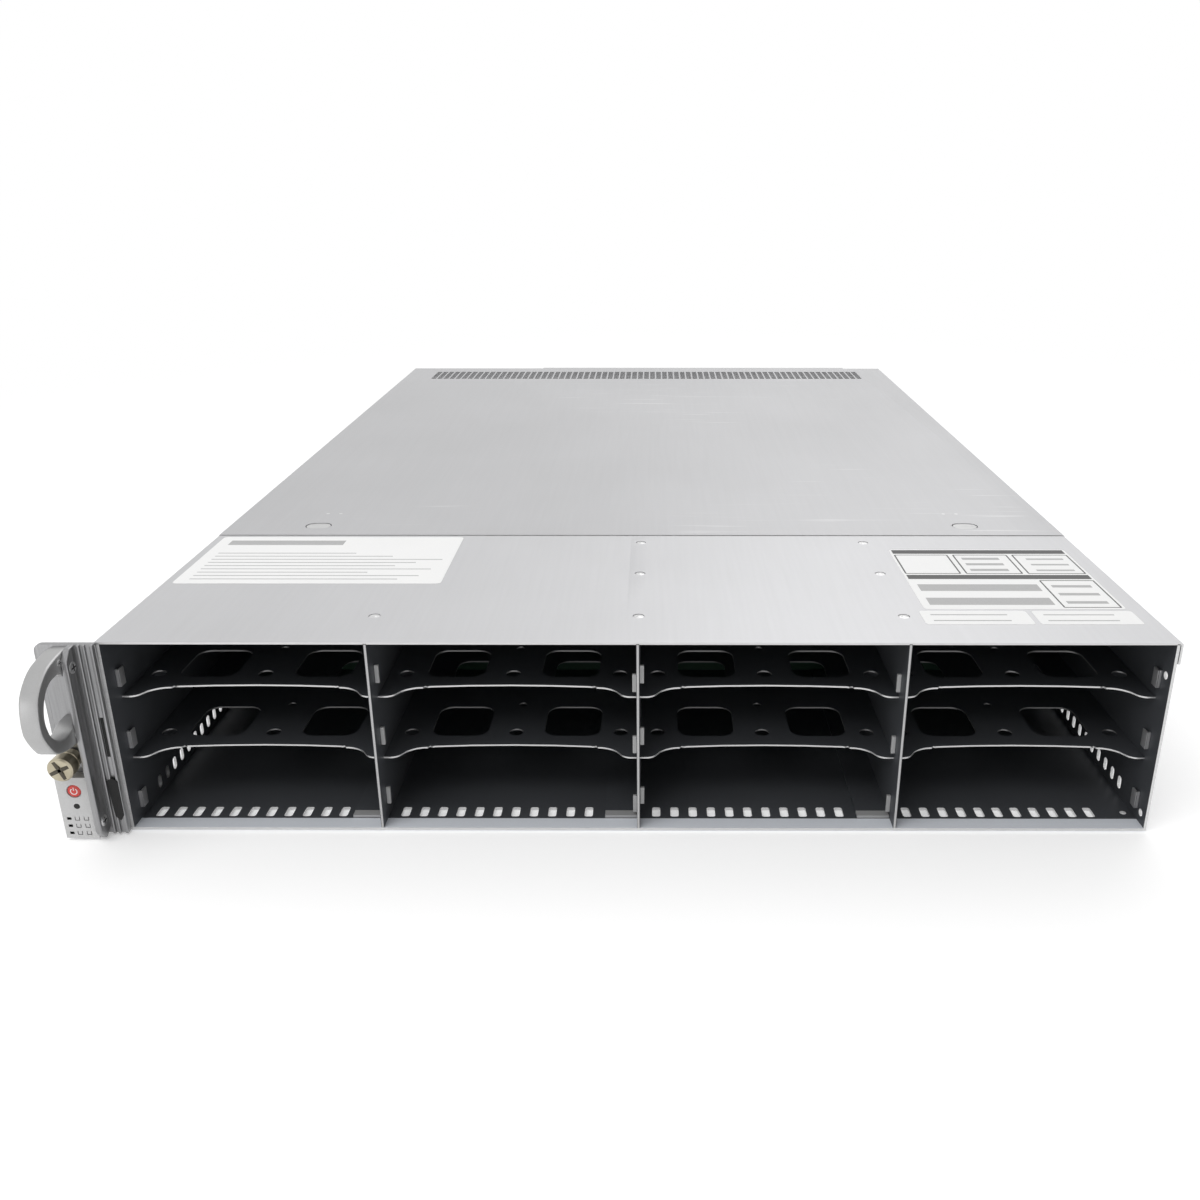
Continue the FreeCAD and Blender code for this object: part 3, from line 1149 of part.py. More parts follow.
def ear_handle():
    """The pull handle: a slanted loop of flat bar that stands forward of the ear."""
    nose = EAR_FACE - HANDLE_REACH
    high, low, band = HANDLE_HIGH, HANDLE_LOW, HANDLE_BAND
    outer = [
        (EAR_FACE, low, 0), (nose + HANDLE_LEAN, low, 9), (nose, low + HANDLE_LEAN * 0.8, 8),
        (nose, high - HANDLE_LEAN, 9), (nose + HANDLE_LEAN * 1.6, high, 9), (EAR_FACE, high, 0),
    ]
    inner_back = EAR_FACE - FIN_REACH
    inner = [
        (inner_back, low + band, 2), (nose + HANDLE_LEAN, low + band, 5),
        (nose + band, low + HANDLE_LEAN * 0.8 + band / 2, 5), (nose + band, high - HANDLE_LEAN - band / 2, 5),
        (nose + HANDLE_LEAN * 1.6, high - band, 5), (inner_back, high - band, 2),
    ]
    return plate("x", FIN_LEFT - HANDLE_WIDTH, FIN_LEFT, outer, [inner])


def control_panel():
    """The button box at the foot of the ear, bored for the power button."""
    low = CONTROL_FOOT
    rear, front = EAR_FACE, EAR_FACE - CONTROL_DEPTH
    box = block((EAR_EDGE, EAR_EDGE + CONTROL_WIDTH), (front, rear), (low, low + CONTROL_HEIGHT))
    mouth = polygon(CONTROL_X, low + POWER_RISE, POWER_RADIUS + SLIP, BUTTON_SIDES)
    pocket = plate("y", front - 1, rear - SHEET, mouth)
    return box.cut(pocket)


def power_button():
    front = EAR_FACE - CONTROL_DEPTH
    rear = EAR_FACE - SHEET - POWER_TRAVEL - SLIP
    return plate("y", front, rear, polygon(CONTROL_X, CONTROL_FOOT + POWER_RISE, POWER_RADIUS, BUTTON_SIDES))


def thumbscrew():
    """The captive rack screw: a grip, a collar, a thin neck through the ear and a shank behind it."""
    face = EAR_FACE - SLIP
    grip = face - THUMB_COLLAR_LENGTH
    collar = plate("y", grip, face, polygon(CONTROL_X, THUMB_RISE, THUMB_COLLAR, THUMB_SIDES))
    head = plate("y", grip - THUMB_LENGTH, grip, polygon(CONTROL_X, THUMB_RISE, THUMB_RADIUS, THUMB_SIDES))
    neck = plate("y", face, FRONT + THUMB_GAP, polygon(CONTROL_X, THUMB_RISE, THUMB_NECK, THUMB_SIDES))
    shank = rod("y", CONTROL_X, THUMB_RISE, THUMB_SHANK, FRONT + THUMB_GAP, FRONT + THUMB_GAP + THUMB_TAIL)
    return joined(head, collar, neck, shank)


def build():
    parts = {
        "chassis_tray": chassis_tray(),
        "front_top_cover": front_top_cover(),
        "drive_backplane": drive_backplane(),
        "backplane_sockets": backplane_sockets(),
        "fan_housings": group(*[fan_housing(x) for x in FAN_XS]),
        "motherboard": motherboard(),
        "cpu_heatsinks": cpu_heatsinks(),
        "memory_modules": memory_modules(),
        "riser_card": riser_card(),
        "psu_cage": psu_cage(),
        "power_board": power_board(),
        "rear_vent_panel": rear_vent_panel(),
        "riser_bracket_left": riser_bracket_left(),
        "card_bracket_left": card_bracket(LEFT_BAY_X, LEFT_CARD_Z, PANEL_Y - SHEET),
        "riser_bracket_middle": riser_bracket_middle(),
        "io_panel": io_panel(),
        "lan_ports": lan_ports(),
        "usb_ports": usb_ports(),
        "mgmt_port": mgmt_port(),
        "serial_port": dsub_port(SERIAL_X, DSUB_SHELL_REACH - 1),
        "vga_port": dsub_port(VGA_X, 1.0),
        "network_panel": network_panel(),
        "sfp_cages": sfp_cages(),
        "rear_post": rear_post(),
        "slot_frame": slot_frame(),
        "slot_blanks": slot_blanks(),
        "card_bracket_right": card_bracket(SLOT_X, SLOT_ZS[-1], PANEL_Y - SHEET),
        "corner_post": corner_post(),
        "lid": lid(),
        "lid_button_left": lid_button(-BUTTON_X),
        "lid_button_right": lid_button(BUTTON_X),
        "ear_bracket": ear_bracket(),
        "ear_handle": ear_handle(),
        "control_panel": control_panel(),
        "power_button": power_button(),
        "thumbscrew": thumbscrew(),
        "riser_latch_left": riser_latch(*LATCH_LEFT, REAR + SLIP),
        "riser_latch_middle": riser_latch(*LATCH_MIDDLE, LATCH_TAB_Y),
    }
    for i, x in enumerate((-BAY_SPACING, 0, BAY_SPACING), 1):
        parts[f"bay_divider_{i}"] = bay_divider(x)
    for i, span in enumerate(bay_spans(), 1):
        parts[f"bay_shelves_{i}"] = bay_shelves(span)
    for i, x in enumerate(FAN_XS, 1):
        parts[f"fan_rotor_{i}"] = case_fan_rotor(x)
    for i, left in enumerate(PSU_LEFT_EDGES, 1):
        parts[f"psu_{i}_case"] = psu_case(left)
        parts[f"psu_{i}_inlet"] = psu_inlet(left)
        parts[f"psu_{i}_rotor"] = psu_rotor(left)
        parts[f"psu_{i}_bail"] = psu_bail(left, up=i == 1)
        parts[f"psu_{i}_lever"] = psu_lever(left)
    return parts


os.makedirs("parts", exist_ok=True)
for name, shape in build().items():
    shape.exportStep(f"parts/{name}.step")
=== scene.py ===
from math import radians

import bmesh
import bpy
from mathutils import Matrix, Vector


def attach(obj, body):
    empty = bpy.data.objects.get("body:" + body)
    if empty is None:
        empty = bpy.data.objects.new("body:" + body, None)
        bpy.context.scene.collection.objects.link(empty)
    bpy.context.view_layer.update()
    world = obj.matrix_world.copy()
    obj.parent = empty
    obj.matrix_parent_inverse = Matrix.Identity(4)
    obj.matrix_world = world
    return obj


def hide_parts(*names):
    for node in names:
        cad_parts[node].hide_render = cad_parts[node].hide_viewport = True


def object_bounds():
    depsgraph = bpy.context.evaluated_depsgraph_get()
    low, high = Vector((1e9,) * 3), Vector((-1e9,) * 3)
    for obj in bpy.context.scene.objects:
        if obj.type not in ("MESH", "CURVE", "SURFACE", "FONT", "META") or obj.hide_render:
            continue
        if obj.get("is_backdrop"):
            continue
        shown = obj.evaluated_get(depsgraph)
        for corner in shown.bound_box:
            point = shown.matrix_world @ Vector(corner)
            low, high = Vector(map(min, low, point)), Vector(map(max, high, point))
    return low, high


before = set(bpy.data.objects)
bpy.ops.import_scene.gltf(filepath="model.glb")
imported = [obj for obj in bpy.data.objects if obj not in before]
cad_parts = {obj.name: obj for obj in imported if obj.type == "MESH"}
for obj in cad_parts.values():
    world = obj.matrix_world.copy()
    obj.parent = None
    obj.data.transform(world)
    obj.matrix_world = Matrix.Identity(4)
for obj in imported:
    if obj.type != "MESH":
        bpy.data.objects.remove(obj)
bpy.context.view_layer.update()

# Tray: floor and side walls bent from one sheet of zinc-coated steel, satin grey outside. Inside, the floor's
# top and the walls' inner faces take the cage's dark sheet as painted shade, and a pale strip behind the
# front edge is a painted highlight. Punched with intake slots along the front of the floor and low in both
# walls.
MM = 0.001


class Tone:
    """One output of a material's nodes; arithmetic on it adds Math nodes."""

    def __init__(self, tree, socket):
        self.tree = tree
        self.socket = socket

    def node(self, kind, settings=None, inputs=None, output=0):
        made = self.tree.nodes.new("ShaderNode" + kind)
        for key, value in (settings or {}).items():
            setattr(made, key, value)
        for key, value in (inputs or {}).items():
            if isinstance(value, Tone):
                self.tree.links.new(value.socket, made.inputs[key])
            else:
                made.inputs[key].default_value = value
        return Tone(self.tree, made.outputs[output])

    def math(self, operation, a, b):
        return self.node("Math", {"operation": operation}, {0: a, 1: b})

    def __add__(self, other):
        return self.math("ADD", self, other)

    def __sub__(self, other):
        return self.math("SUBTRACT", self, other)

    def __mul__(self, other):
        return self.math("MULTIPLY", self, other)

    def __lt__(self, other):
        return self.math("LESS_THAN", self, other)

    def __gt__(self, other):
        return self.math("GREATER_THAN", self, other)

    __radd__ = __add__

    def blend(self, low, high):
        return self.node("Mix", {"data_type": "RGBA"}, {0: self, 6: low, 7: high}, 2)

    def noise(self, scale, detail=3.0):
        return self.node("TexNoise", None, {"Vector": self, "Scale": scale, "Detail": detail})

    def stretched(self, x, y, z):
        return self.node("Mapping", None, {"Vector": self, "Scale": (x, y, z)})

    def along(self, axis):
        return self.node("SeparateXYZ", None, {0: self}, axis)

    def bump(self, strength, depth):
        return self.node("Bump", None, {"Height": self, "Strength": strength, "Distance": depth * MM})

    def ramp(self, low, high):
        """Black up to one value and white from another on."""
        made = self.node("ValToRGB", None, {0: self})
        first, last = made.socket.node.color_ramp.elements
        first.position = low
        last.position = high
        return made


def finish(name, shade):
    """A material whose shader takes what shade gives for the object's coordinates."""
    material = bpy.data.materials.new(name)
    material.use_nodes = True
    tree = material.node_tree
    shader = tree.nodes["Principled BSDF"]
    at = Tone(tree, tree.nodes.new("ShaderNodeTexCoord").outputs["Object"])
    for key, value in shade(at).items():
        if isinstance(value, Tone):
            tree.links.new(value.socket, shader.inputs[key])
        else:
            shader.inputs[key].default_value = value
    return material


def grey(value, blue=1.0):
    return (value, value, value * blue, 1.0)


def zinc_shade(at, dark=0.40, pale=0.56, rough=0.34):
    cloud = at.noise(9.0, 6.0)
    grain = at.noise(1400.0, 2.0)
    rolled = at.stretched(60.0, 2.0, 60.0).noise(9.0, 4.0)
    return {
        "Base Color": (cloud * 0.5 + grain * 0.3 + rolled * 0.2).blend(grey(dark, 1.015), grey(pale, 1.02)),
        "Metallic": 0.75,
        "Roughness": rough + grain * 0.14 + cloud * 0.1,
        "Normal": grain.bump(0.25, 0.06),
    }


def dark_shade(at):
    cloud = at.noise(14.0, 5.0)
    grain = at.noise(1100.0, 2.0)
    return {
        "Base Color": (cloud * 0.6 + grain * 0.4).blend((0.050, 0.053, 0.058, 1), (0.115, 0.122, 0.134, 1)),
        "Metallic": 0.4,
        "Roughness": 0.42 + grain * 0.16,
        "Normal": grain.bump(0.2, 0.05),
    }


def cut_shade(at):
    drag = at.stretched(40.0, 40.0, 900.0).noise(6.0, 3.0)
    return {
        "Base Color": drag.blend(grey(0.50), grey(0.78)),
        "Metallic": 0.9,
        "Roughness": 0.30 + drag * 0.2,
    }


# A pale, barely metallic copy of the zinc: a painted highlight on the floor strip behind the front edge.
def lip_highlight_shade(at):
    cloud = at.noise(20.0, 5.0)
    grain = at.noise(1400.0, 2.0)
    return {
        "Base Color": (cloud * 0.6 + grain * 0.4).blend((0.66, 0.69, 0.74, 1), (0.80, 0.83, 0.88, 1)),
        "Metallic": 0.1,
        "Roughness": 0.40 + grain * 0.16,
    }


zinc = finish("zinc_sheet", zinc_shade)
# The cage's dark sheet, also laid as painted shade on zinc faces that lie in shade: the tray's inner faces,
# the undersides of cover and lid, the inside of the supply boxes and the sides of the slot plate.
dark_sheet_and_painted_shade = finish("cage_sheet_with_painted_shade", dark_shade)
# Bright cut edges of the sheets, also laid as a painted highlight on the bend of the lid's rear lip.
edge_steel_and_highlight = finish("bare_edge_and_painted_highlight", cut_shade)
NEAR = 1e-4


def blank(u, v):
    """A flat sheet in the XY plane, from two (low, high) pairs."""
    bm = bmesh.new()
    bmesh.ops.create_grid(bm, x_segments=1, y_segments=1, size=0.5)
    bmesh.ops.scale(bm, vec=(u[1] - u[0], v[1] - v[0], 1), verts=bm.verts)
    bmesh.ops.translate(bm, vec=((u[0] + u[1]) / 2, (v[0] + v[1]) / 2, 0), verts=bm.verts)
    return bm


def shear(bm, faces, axis, places):
    """Scores the given faces of a flat sheet along lines, and gives all the faces that result."""
    normal = Vector((1 - axis, axis, 0))
    for place in places:
        parts = {*faces, *[e for f in faces for e in f.edges], *[v for f in faces for v in f.verts]}
        made = bmesh.ops.bisect_plane(bm, geom=list(parts), dist=1e-5, plane_co=normal * place,
                                      plane_no=normal)
        faces = [g for g in made["geom"] if isinstance(g, bmesh.types.BMFace)]
    return faces


def inside(faces, u, v):
    middles = [(f, f.calc_center_bounds()) for f in faces]
    return [f for f, c in middles if u[0] < c.x < u[1] and v[0] < c.y < v[1]]


def mark_out(bm, u, v):
    """Scores a rectangle in a flat sheet and gives the faces inside it."""
    def crossed(faces):
        kept = []
        for face in faces:
            xs, ys = zip(*[p.co.xy for p in face.verts])
            across = min(xs) < u[1] - NEAR and max(xs) > u[0] + NEAR
            if across and min(ys) < v[1] - NEAR and max(ys) > v[0] + NEAR:
                kept.append(face)
        return kept
    faces = crossed(bm.faces)
    faces = crossed(shear(bm, faces, 0, u))
    return inside(shear(bm, faces, 1, v), u, v)


def opened(bm, u, v):
    """Cuts a rectangle out of a flat sheet and gives the edges around it."""
    cells = mark_out(bm, u, v)
    rim = [e for f in cells for e in f.edges if sum(g in cells for g in e.link_faces) == 1]
    bmesh.ops.delete(bm, geom=cells, context="FACES")
    return [e for e in rim if e.is_valid]


def fill(bm, edges):
    """Closes the flat gap between the given edges."""
    bmesh.ops.triangle_fill(bm, use_beauty=True, use_dissolve=False, normal=(0, 0, 1), edges=edges)


def vents(bm, u, v, columns, rows, web, ease=0.0):
    """Punches rows of holes into a rectangle of a flat sheet, a web's width apart."""
    def place(face):
        middle = face.calc_center_bounds()
        return (round(middle.x, 2), round(middle.y, 2))

    def on_line(edge, axis, line, span):
        ends = [p.co for p in edge.verts]
        return all(abs(c[axis] - line) < NEAR and span[0] - NEAR < c[1 - axis] < span[1] + NEAR for c in ends)

    rim, lap = opened(bm, u, v), web * 0.2
    u, v = (u[0] + lap, u[1] - lap), (v[0] + lap, v[1] - lap)
    patch = blank(u, v)
    cells = shear(patch, patch.faces[:], 0, [u[0] + (u[1] - u[0]) * i / columns for i in range(1, columns)])
    cells = shear(patch, cells, 1, [v[0] + (v[1] - v[0]) * i / rows for i in range(1, rows)])
    bmesh.ops.inset_individual(patch, faces=cells, thickness=web / 2, use_even_offset=True)
    if ease:
        places = {place(f) for f in cells}
        corners = [p for f in cells for p in f.verts]
        bmesh.ops.bevel(patch, geom=corners, offset=ease, affect="VERTICES", segments=2, profile=0.5,
                        material=-1)
        cells = [f for f in patch.faces if len(f.verts) > 8 and place(f) in places]
    bmesh.ops.delete(patch, geom=cells, context="FACES")
    gather(bm, patch)
    border_edges = [e for e in bm.edges if e.is_boundary and (
        any(on_line(e, 0, x, v) for x in u) or any(on_line(e, 1, y, u) for y in v))]
    fill(bm, rim + border_edges)


def outline(points, steps=4):
    """A flat sheet from its corners (x, y, rounding)."""
    bm = bmesh.new()
    verts = [bm.verts.new((x, y, 0)) for x, y, _ in points]
    bm.faces.new(verts)
    for vert, (_, _, radius) in zip(verts, points):
        if radius:
            bmesh.ops.bevel(bm, geom=[vert], offset=radius, affect="VERTICES", segments=steps, profile=0.5,
                            material=-1)
    bmesh.ops.recalc_face_normals(bm, faces=bm.faces)
    return face_up(bm)


def face_up(bm):
    """Turns a flat sheet's faces to +Z."""
    if max(bm.faces, key=lambda f: f.calc_area()).normal.z < 0:
        bmesh.ops.reverse_faces(bm, faces=bm.faces)
    return bm


def window(bm, u, v, corner=0.0, steps=4):
    """Cuts a window with rounded corners out of a flat sheet."""
    rim = opened(bm, (u[0] - corner, u[1] + corner), (v[0] - corner, v[1] + corner))
    if corner:
        run = corner * 0.999
        shape = outline([(u[0], v[0], run), (u[1], v[0], run), (u[1], v[1], run), (u[0], v[1], run)], steps)
        bmesh.ops.delete(shape, geom=shape.faces[:], context="FACES_ONLY")
        gather(bm, shape)
        fill(bm, rim + [e for e in bm.edges if e.is_wire])


def hole(bm, u, v, radius):
    window(bm, (u - radius, u + radius), (v - radius, v + radius), radius, 5)


def thicken(bm, sheet, rim=0):
    """Gives a flat sheet its thickness below its face, with the cut rim in another finish."""
    bmesh.ops.dissolve_degenerate(bm, dist=0.001, edges=bm.edges)
    bmesh.ops.delete(bm, geom=[e for e in bm.edges if e.is_wire], context="EDGES")
    bmesh.ops.solidify(bm, geom=bm.faces[:], thickness=sheet)
    if rim:
        for face in bm.faces:
            if abs(face.normal.z) < 0.5:
                face.material_index = rim


TURNED = {
    "z": Matrix.Identity(4),
    "y": Matrix.Rotation(radians(90), 4, "X"),
    "x": Matrix(((0, 0, 1, 0), (1, 0, 0, 0), (0, 1, 0, 0), (0, 0, 0, 1))),
}


def stand(bm, axis, at):
    """Sets a sheet made flat across an axis: its face looks to +Z, -Y or +X, at that place."""
    shift = {"z": (0, 0, at), "y": (0, at, 0), "x": (at, 0, 0)}[axis]
    bmesh.ops.transform(bm, matrix=Matrix.Translation(shift) @ TURNED[axis], verts=bm.verts)
    return bm


def gather(bm, *others):
    """Joins other meshes into the first."""
    for other in others:
        mesh = bpy.data.meshes.new("gathered")
        other.to_mesh(mesh)
        other.free()
        bm.from_mesh(mesh)
        bpy.data.meshes.remove(mesh)
    return bm


def bar(bm, x, y, z, ease=0.0, steps=2, coat=0):
    """Adds a solid bar between three (low, high) pairs, with its edges eased."""
    size = Matrix.Diagonal((x[1] - x[0], y[1] - y[0], z[1] - z[0], 1))
    middle = Matrix.Translation(((x[0] + x[1]) / 2, (y[0] + y[1]) / 2, (z[0] + z[1]) / 2))
    verts = bmesh.ops.create_cube(bm, size=1.0, matrix=middle @ size)["verts"]
    for face in {f for p in verts for f in p.link_faces}:
        face.material_index = coat
    if ease:
        edges = {e for p in verts for e in p.link_edges}
        bmesh.ops.bevel(bm, geom=list(edges), offset=ease, affect="EDGES", segments=steps, profile=0.5,
                        material=-1)


def piece(name, bm, body, finishes, stands_for=(), smooth=30):
    """Makes a mesh in millimetres into a piece of the object."""
    bmesh.ops.scale(bm, vec=(MM, MM, MM), verts=bm.verts)
    mesh = bpy.data.meshes.new(name)
    bm.to_mesh(mesh)
    bm.free()
    for material in finishes:
        mesh.materials.append(material)
    mesh.shade_smooth()
    mesh.set_sharp_from_angle(angle=radians(smooth))
    obj = bpy.data.objects.new(name, mesh)
    bpy.context.scene.collection.objects.link(obj)
    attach(obj, body)
    if stands_for:
        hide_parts(*stands_for)
    return obj


SHEET = 1.2
HALF, WALL = 218.5, 217.2
FRONT, REAR = -323.5, 323.5
INNER = WALL - SHEET
COVER_UNDER = 87.0
UPRIGHTS, UPRIGHT_HALF = (-109.5, 0.0, 109.5), 0.6
BAYS = list(zip((-INNER, *[x + UPRIGHT_HALF for x in UPRIGHTS]),
                (*[x - UPRIGHT_HALF for x in UPRIGHTS], INNER)))
SHELF_TOPS = (30.0, 58.8)
INTAKES, INTAKE_PITCH, INTAKE_HALF = 11, 8.0, 1.8
INTAKE_Y = (FRONT + 9.0, FRONT + 16.4)
SIDE_INTAKES, SIDE_PITCH, SIDE_WIDTH = 13, 8.3, 3.6
SIDE_Z = (4.0, 10.0)
EAR_HOLES = (6.0, 71.0)
LIP_END = FRONT + 7.5
LEDGE, LEDGE_SHADE_X = (REAR - 12.5, REAR - 2.5), (-81.0, 28.0)
TAB_ROOT, TAB_TIP = INNER - 1.8, INNER - 0.9

tray = blank((-WALL, WALL), (FRONT, REAR))
for left, _ in BAYS:
    for i in range(INTAKES):
        x = left + 7.0 + i * INTAKE_PITCH
        window(tray, (x - INTAKE_HALF, x + INTAKE_HALF), INTAKE_Y, 0.9, 3)
    hole(tray, left + 102.0, FRONT + 12.5, 1.4)
strips = shear(tray, tray.faces[:], 1, (LIP_END, *LEDGE))
shear(tray, inside(strips, (-WALL, WALL), LEDGE), 0, LEDGE_SHADE_X)
thicken(tray, SHEET, 2)
stand(tray, "z", SHEET)
# Painted shade: the floor's top from the front strip back to the rear ledge, and on under the connector
# panel, takes the dark sheet. Painted highlight: the strip behind the front edge takes the pale lip finish.
for face in tray.faces:
    x, y, _ = face.calc_center_median()
    shade_end = LEDGE[1] if LEDGE_SHADE_X[0] < x < LEDGE_SHADE_X[1] else LEDGE[0]
    if FRONT + 0.1 < y < LIP_END:
        face.material_index = 3
    elif face.normal.z > 0.5 and y < shade_end:
        face.material_index = 1
for side in (-1, 1):
    wall = blank((FRONT, REAR), (SHEET, COVER_UNDER))
    for i in range(SIDE_INTAKES):
        y = FRONT + 27.0 + i * SIDE_PITCH
        window(wall, (y, y + SIDE_WIDTH), SIDE_Z, 1.6, 3)
    if side > 0:
        for z in EAR_HOLES:
            hole(wall, FRONT + 5.0, z, 1.7)
    thicken(wall, SHEET, 2)
    stand(wall, "x", WALL if side > 0 else -INNER)
    # Painted shade: the walls' inner faces take the dark sheet.
    for face in wall.faces:
        if face.normal.x * side < -0.5:
            face.material_index = 1
    tabs = bmesh.new()
    for level in (SHEET, *SHELF_TOPS):
        height = (level + 5.0, level + 13.0)
        bar(tabs, sorted((side * INNER, side * TAB_ROOT)), (FRONT + 8.0, FRONT + 9.2), height, 0.3)
        bar(tabs, sorted((side * TAB_ROOT, side * TAB_TIP)), (FRONT + 8.0, FRONT + 12.5), height, 0.3)
    gather(tray, wall, tabs)
piece("tray_sheet", tray, "chassis",
      [zinc, dark_sheet_and_painted_shade, edge_steel_and_highlight, finish("lip_painted_highlight", lip_highlight_shade)],
      ["chassis_tray"])

# Drive cage: four columns of flat shelves between three uprights, all of dark plated sheet with bright cut
# edges, the window rims further back dimmed as painted shade. Each shelf's front edge runs back in an ogee
# from two tips, behind which windows are punched.
SHELF_SHEET = 0.7
SHELF_EDGE, CAGE_BACK = FRONT + 19.0, FRONT + 158.0
SHELF_WINDOW = 12.5
SHELF_ROWS = ((SHELF_EDGE + 10.0, SHELF_EDGE + 38.5), (SHELF_EDGE + 62.0, SHELF_EDGE + 90.0))


def ogee(x, way):
    """The corners of a shelf's front edge from one side inward, with a rounding radius for each."""
    tip = SHELF_EDGE - 9.0
    return [(x, tip, 0), (x + way * 5.5, tip, 2.6), (x + way * 8.6, SHELF_EDGE - 4.0, 0),
            (x + way * 12.6, SHELF_EDGE - 0.4, 3.5), (x + way * 17.2, SHELF_EDGE - 0.2, 0),
            (x + way * 18.0, SHELF_EDGE + 0.9, 0), (x + way * 19.3, SHELF_EDGE + 0.4, 0)]


# A dimmer copy of the cut edge: painted shade on the shelves' window rims further back.
def dimmed_rim_shade(at):
    drag = at.stretched(40.0, 40.0, 900.0).noise(6.0, 3.0)
    return {"Base Color": drag.blend(grey(0.13), grey(0.24)), "Metallic": 0.6, "Roughness": 0.34 + drag * 0.2}


dimmed_rim_steel = finish("window_rim_painted_shade", dimmed_rim_shade)
for column, (left, right) in enumerate(BAYS, 1):
    middle, both = (left + right) / 2, bmesh.new()
    for top in SHELF_TOPS:
        bow = [(middle + u, SHELF_EDGE + 2.2 - (u / 36) ** 2 * 1.6, 0) for u in (-34, -18, 0, 18, 34)]
        edge = ogee(left, 1) + bow + ogee(right, -1)[::-1]
        shelf = outline([*edge, (right, CAGE_BACK, 0), (left, CAGE_BACK, 0)])
        for x in (middle - 25.0, middle + 25.0):
            for row in SHELF_ROWS:
                window(shelf, (x - SHELF_WINDOW, x + SHELF_WINDOW), row, 6.0, 5)
        for x in (middle - 46.5, middle + 46.5, middle):
            hole(shelf, x, FRONT + 32.5, 3.2)
        hole(shelf, middle, FRONT + 60.0, 1.8)
        thicken(shelf, SHELF_SHEET, 1)
        # Painted shade: the window rims further back take the dimmer edge finish.
        for face in shelf.faces:
            if face.material_index == 1 and face.calc_center_median().y > SHELF_EDGE + 9.0:
                face.material_index = 2
        gather(both, stand(shelf, "z", top))
    piece(f"drive_shelves_{column}", both, "chassis", [dark_sheet_and_painted_shade, edge_steel_and_highlight, dimmed_rim_steel],
          [f"bay_shelves_{column}"])


def upright_shade(x):
    """The finish of an upright at a place across the case: dark, a bright front edge, painted highlight on
    tabs.
    """
    def shade(at):
        cloud = at.noise(14.0, 5.0)
        skin = cloud * 0.7 + at.noise(1100.0, 2.0) * 0.3
        sheen = skin.blend((0.050, 0.053, 0.058, 1), (0.120, 0.127, 0.140, 1))
        off = at.math("ABSOLUTE", at.along("X") - x * MM, 0.0)
        off_floor = at.math("MAXIMUM", at.along("Z") > 4.0 * MM, at.along("Y") < (FRONT + 12.0) * MM)
        # Painted highlight: the tabs that stand off the upright are made bright.
        tab = off_floor * (off > 0.8 * MM)
        edge = (at.along("Y") < (FRONT + 0.3) * MM) * (off < 0.42 * MM)
        bare_edge_and_tab_highlight = at.math("MAXIMUM", edge, tab)
        return {"Base Color": bare_edge_and_tab_highlight.blend(sheen, grey(0.48)), "Metallic": 0.4, "Roughness": 0.42 + cloud * 0.1}
    return shade


for i, x in enumerate(UPRIGHTS, 1):
    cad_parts[f"bay_divider_{i}"].data.materials[0] = finish(f"upright_sheet_{i}", upright_shade(x))

# Top cover over the cage: one sheet of the same zinc-coated steel with a flange bent down each side, fixed by
# nine flat rivets, its zinc painted paler than the lid's as painted light and its underside dark as painted
# shade. It lies a hair below the lid, so that the lid's front edge catches the light.
TOP, COVER_TOP = 87.9, 87.55
COVER_SHEET, FLANGE = 0.9, 9.4
SEAM = -185.0
RIVETS = [(x, y) for x in (-112.0, 0.0, 112.5) for y in (-295.0, -242.0, -196.0)]


def border(bm, axis, place, low=-1000.0, high=1000.0):
    """The sheet's border edges that lie on a line, between two places along it."""
    found = []
    for edge in bm.edges:
        if edge.is_boundary and all(abs(p.co[axis] - place) < 1e-3 for p in edge.verts):
            if low < (edge.verts[0].co[1 - axis] + edge.verts[1].co[1 - axis]) / 2 < high:
                found.append(edge)
    return found


def fold(bm, edges, drop, bend=1.0):
    """Bends the sheet down at some of its border edges, with a rounded bend."""
    made = bmesh.ops.extrude_edge_only(bm, edges=edges)["geom"]
    bmesh.ops.translate(bm, vec=(0, 0, -drop), verts=[g for g in made if isinstance(g, bmesh.types.BMVert)])
    bmesh.ops.bevel(bm, geom=edges, offset=bend, affect="EDGES", segments=3, profile=0.5, material=-1)
    bmesh.ops.recalc_face_normals(bm, faces=bm.faces)
    face_up(bm)


def turned(profile, steps=20):
    """A round piece about Z, from its (radius, height) corners."""
    bm = bmesh.new()
    verts = [bm.verts.new((radius, 0, height)) for radius, height in profile]
    edges = [bm.edges.new(pair) for pair in zip(verts, verts[1:])]
    bmesh.ops.spin(bm, geom=[*verts, *edges], cent=(0, 0, 0), axis=(0, 0, 1), angle=radians(360), steps=steps,
                   use_merge=True)
    bmesh.ops.remove_doubles(bm, verts=bm.verts, dist=1e-4)
    bmesh.ops.recalc_face_normals(bm, faces=bm.faces)
    return bm


def aim(bm, place, direction):
    """Turns a piece made along Z to another direction and sets it in its place."""
    turn = Vector(direction).to_track_quat("Z", "Y").to_matrix().to_4x4()
    bmesh.ops.transform(bm, matrix=Matrix.Translation(place) @ turn, verts=bm.verts)
    return bm


# A paler copy of the zinc: painted light on the top cover.
def cover_painted_light_shade(at):
    return zinc_shade(at, 0.47, 0.64, 0.36)


def mottled(low, high, scale, detail, rough, spread, others=None, bump=None):
    """A finish in which one noise varies the colour and the roughness, and gives any bump."""
    def shade(at):
        mottle = at.noise(scale, detail)
        skin = {"Base Color": mottle.blend(low, high), "Roughness": rough + mottle * spread}
        skin.update(others or {})
        if bump:
            skin["Normal"] = mottle.bump(*bump)
        return skin
    return shade


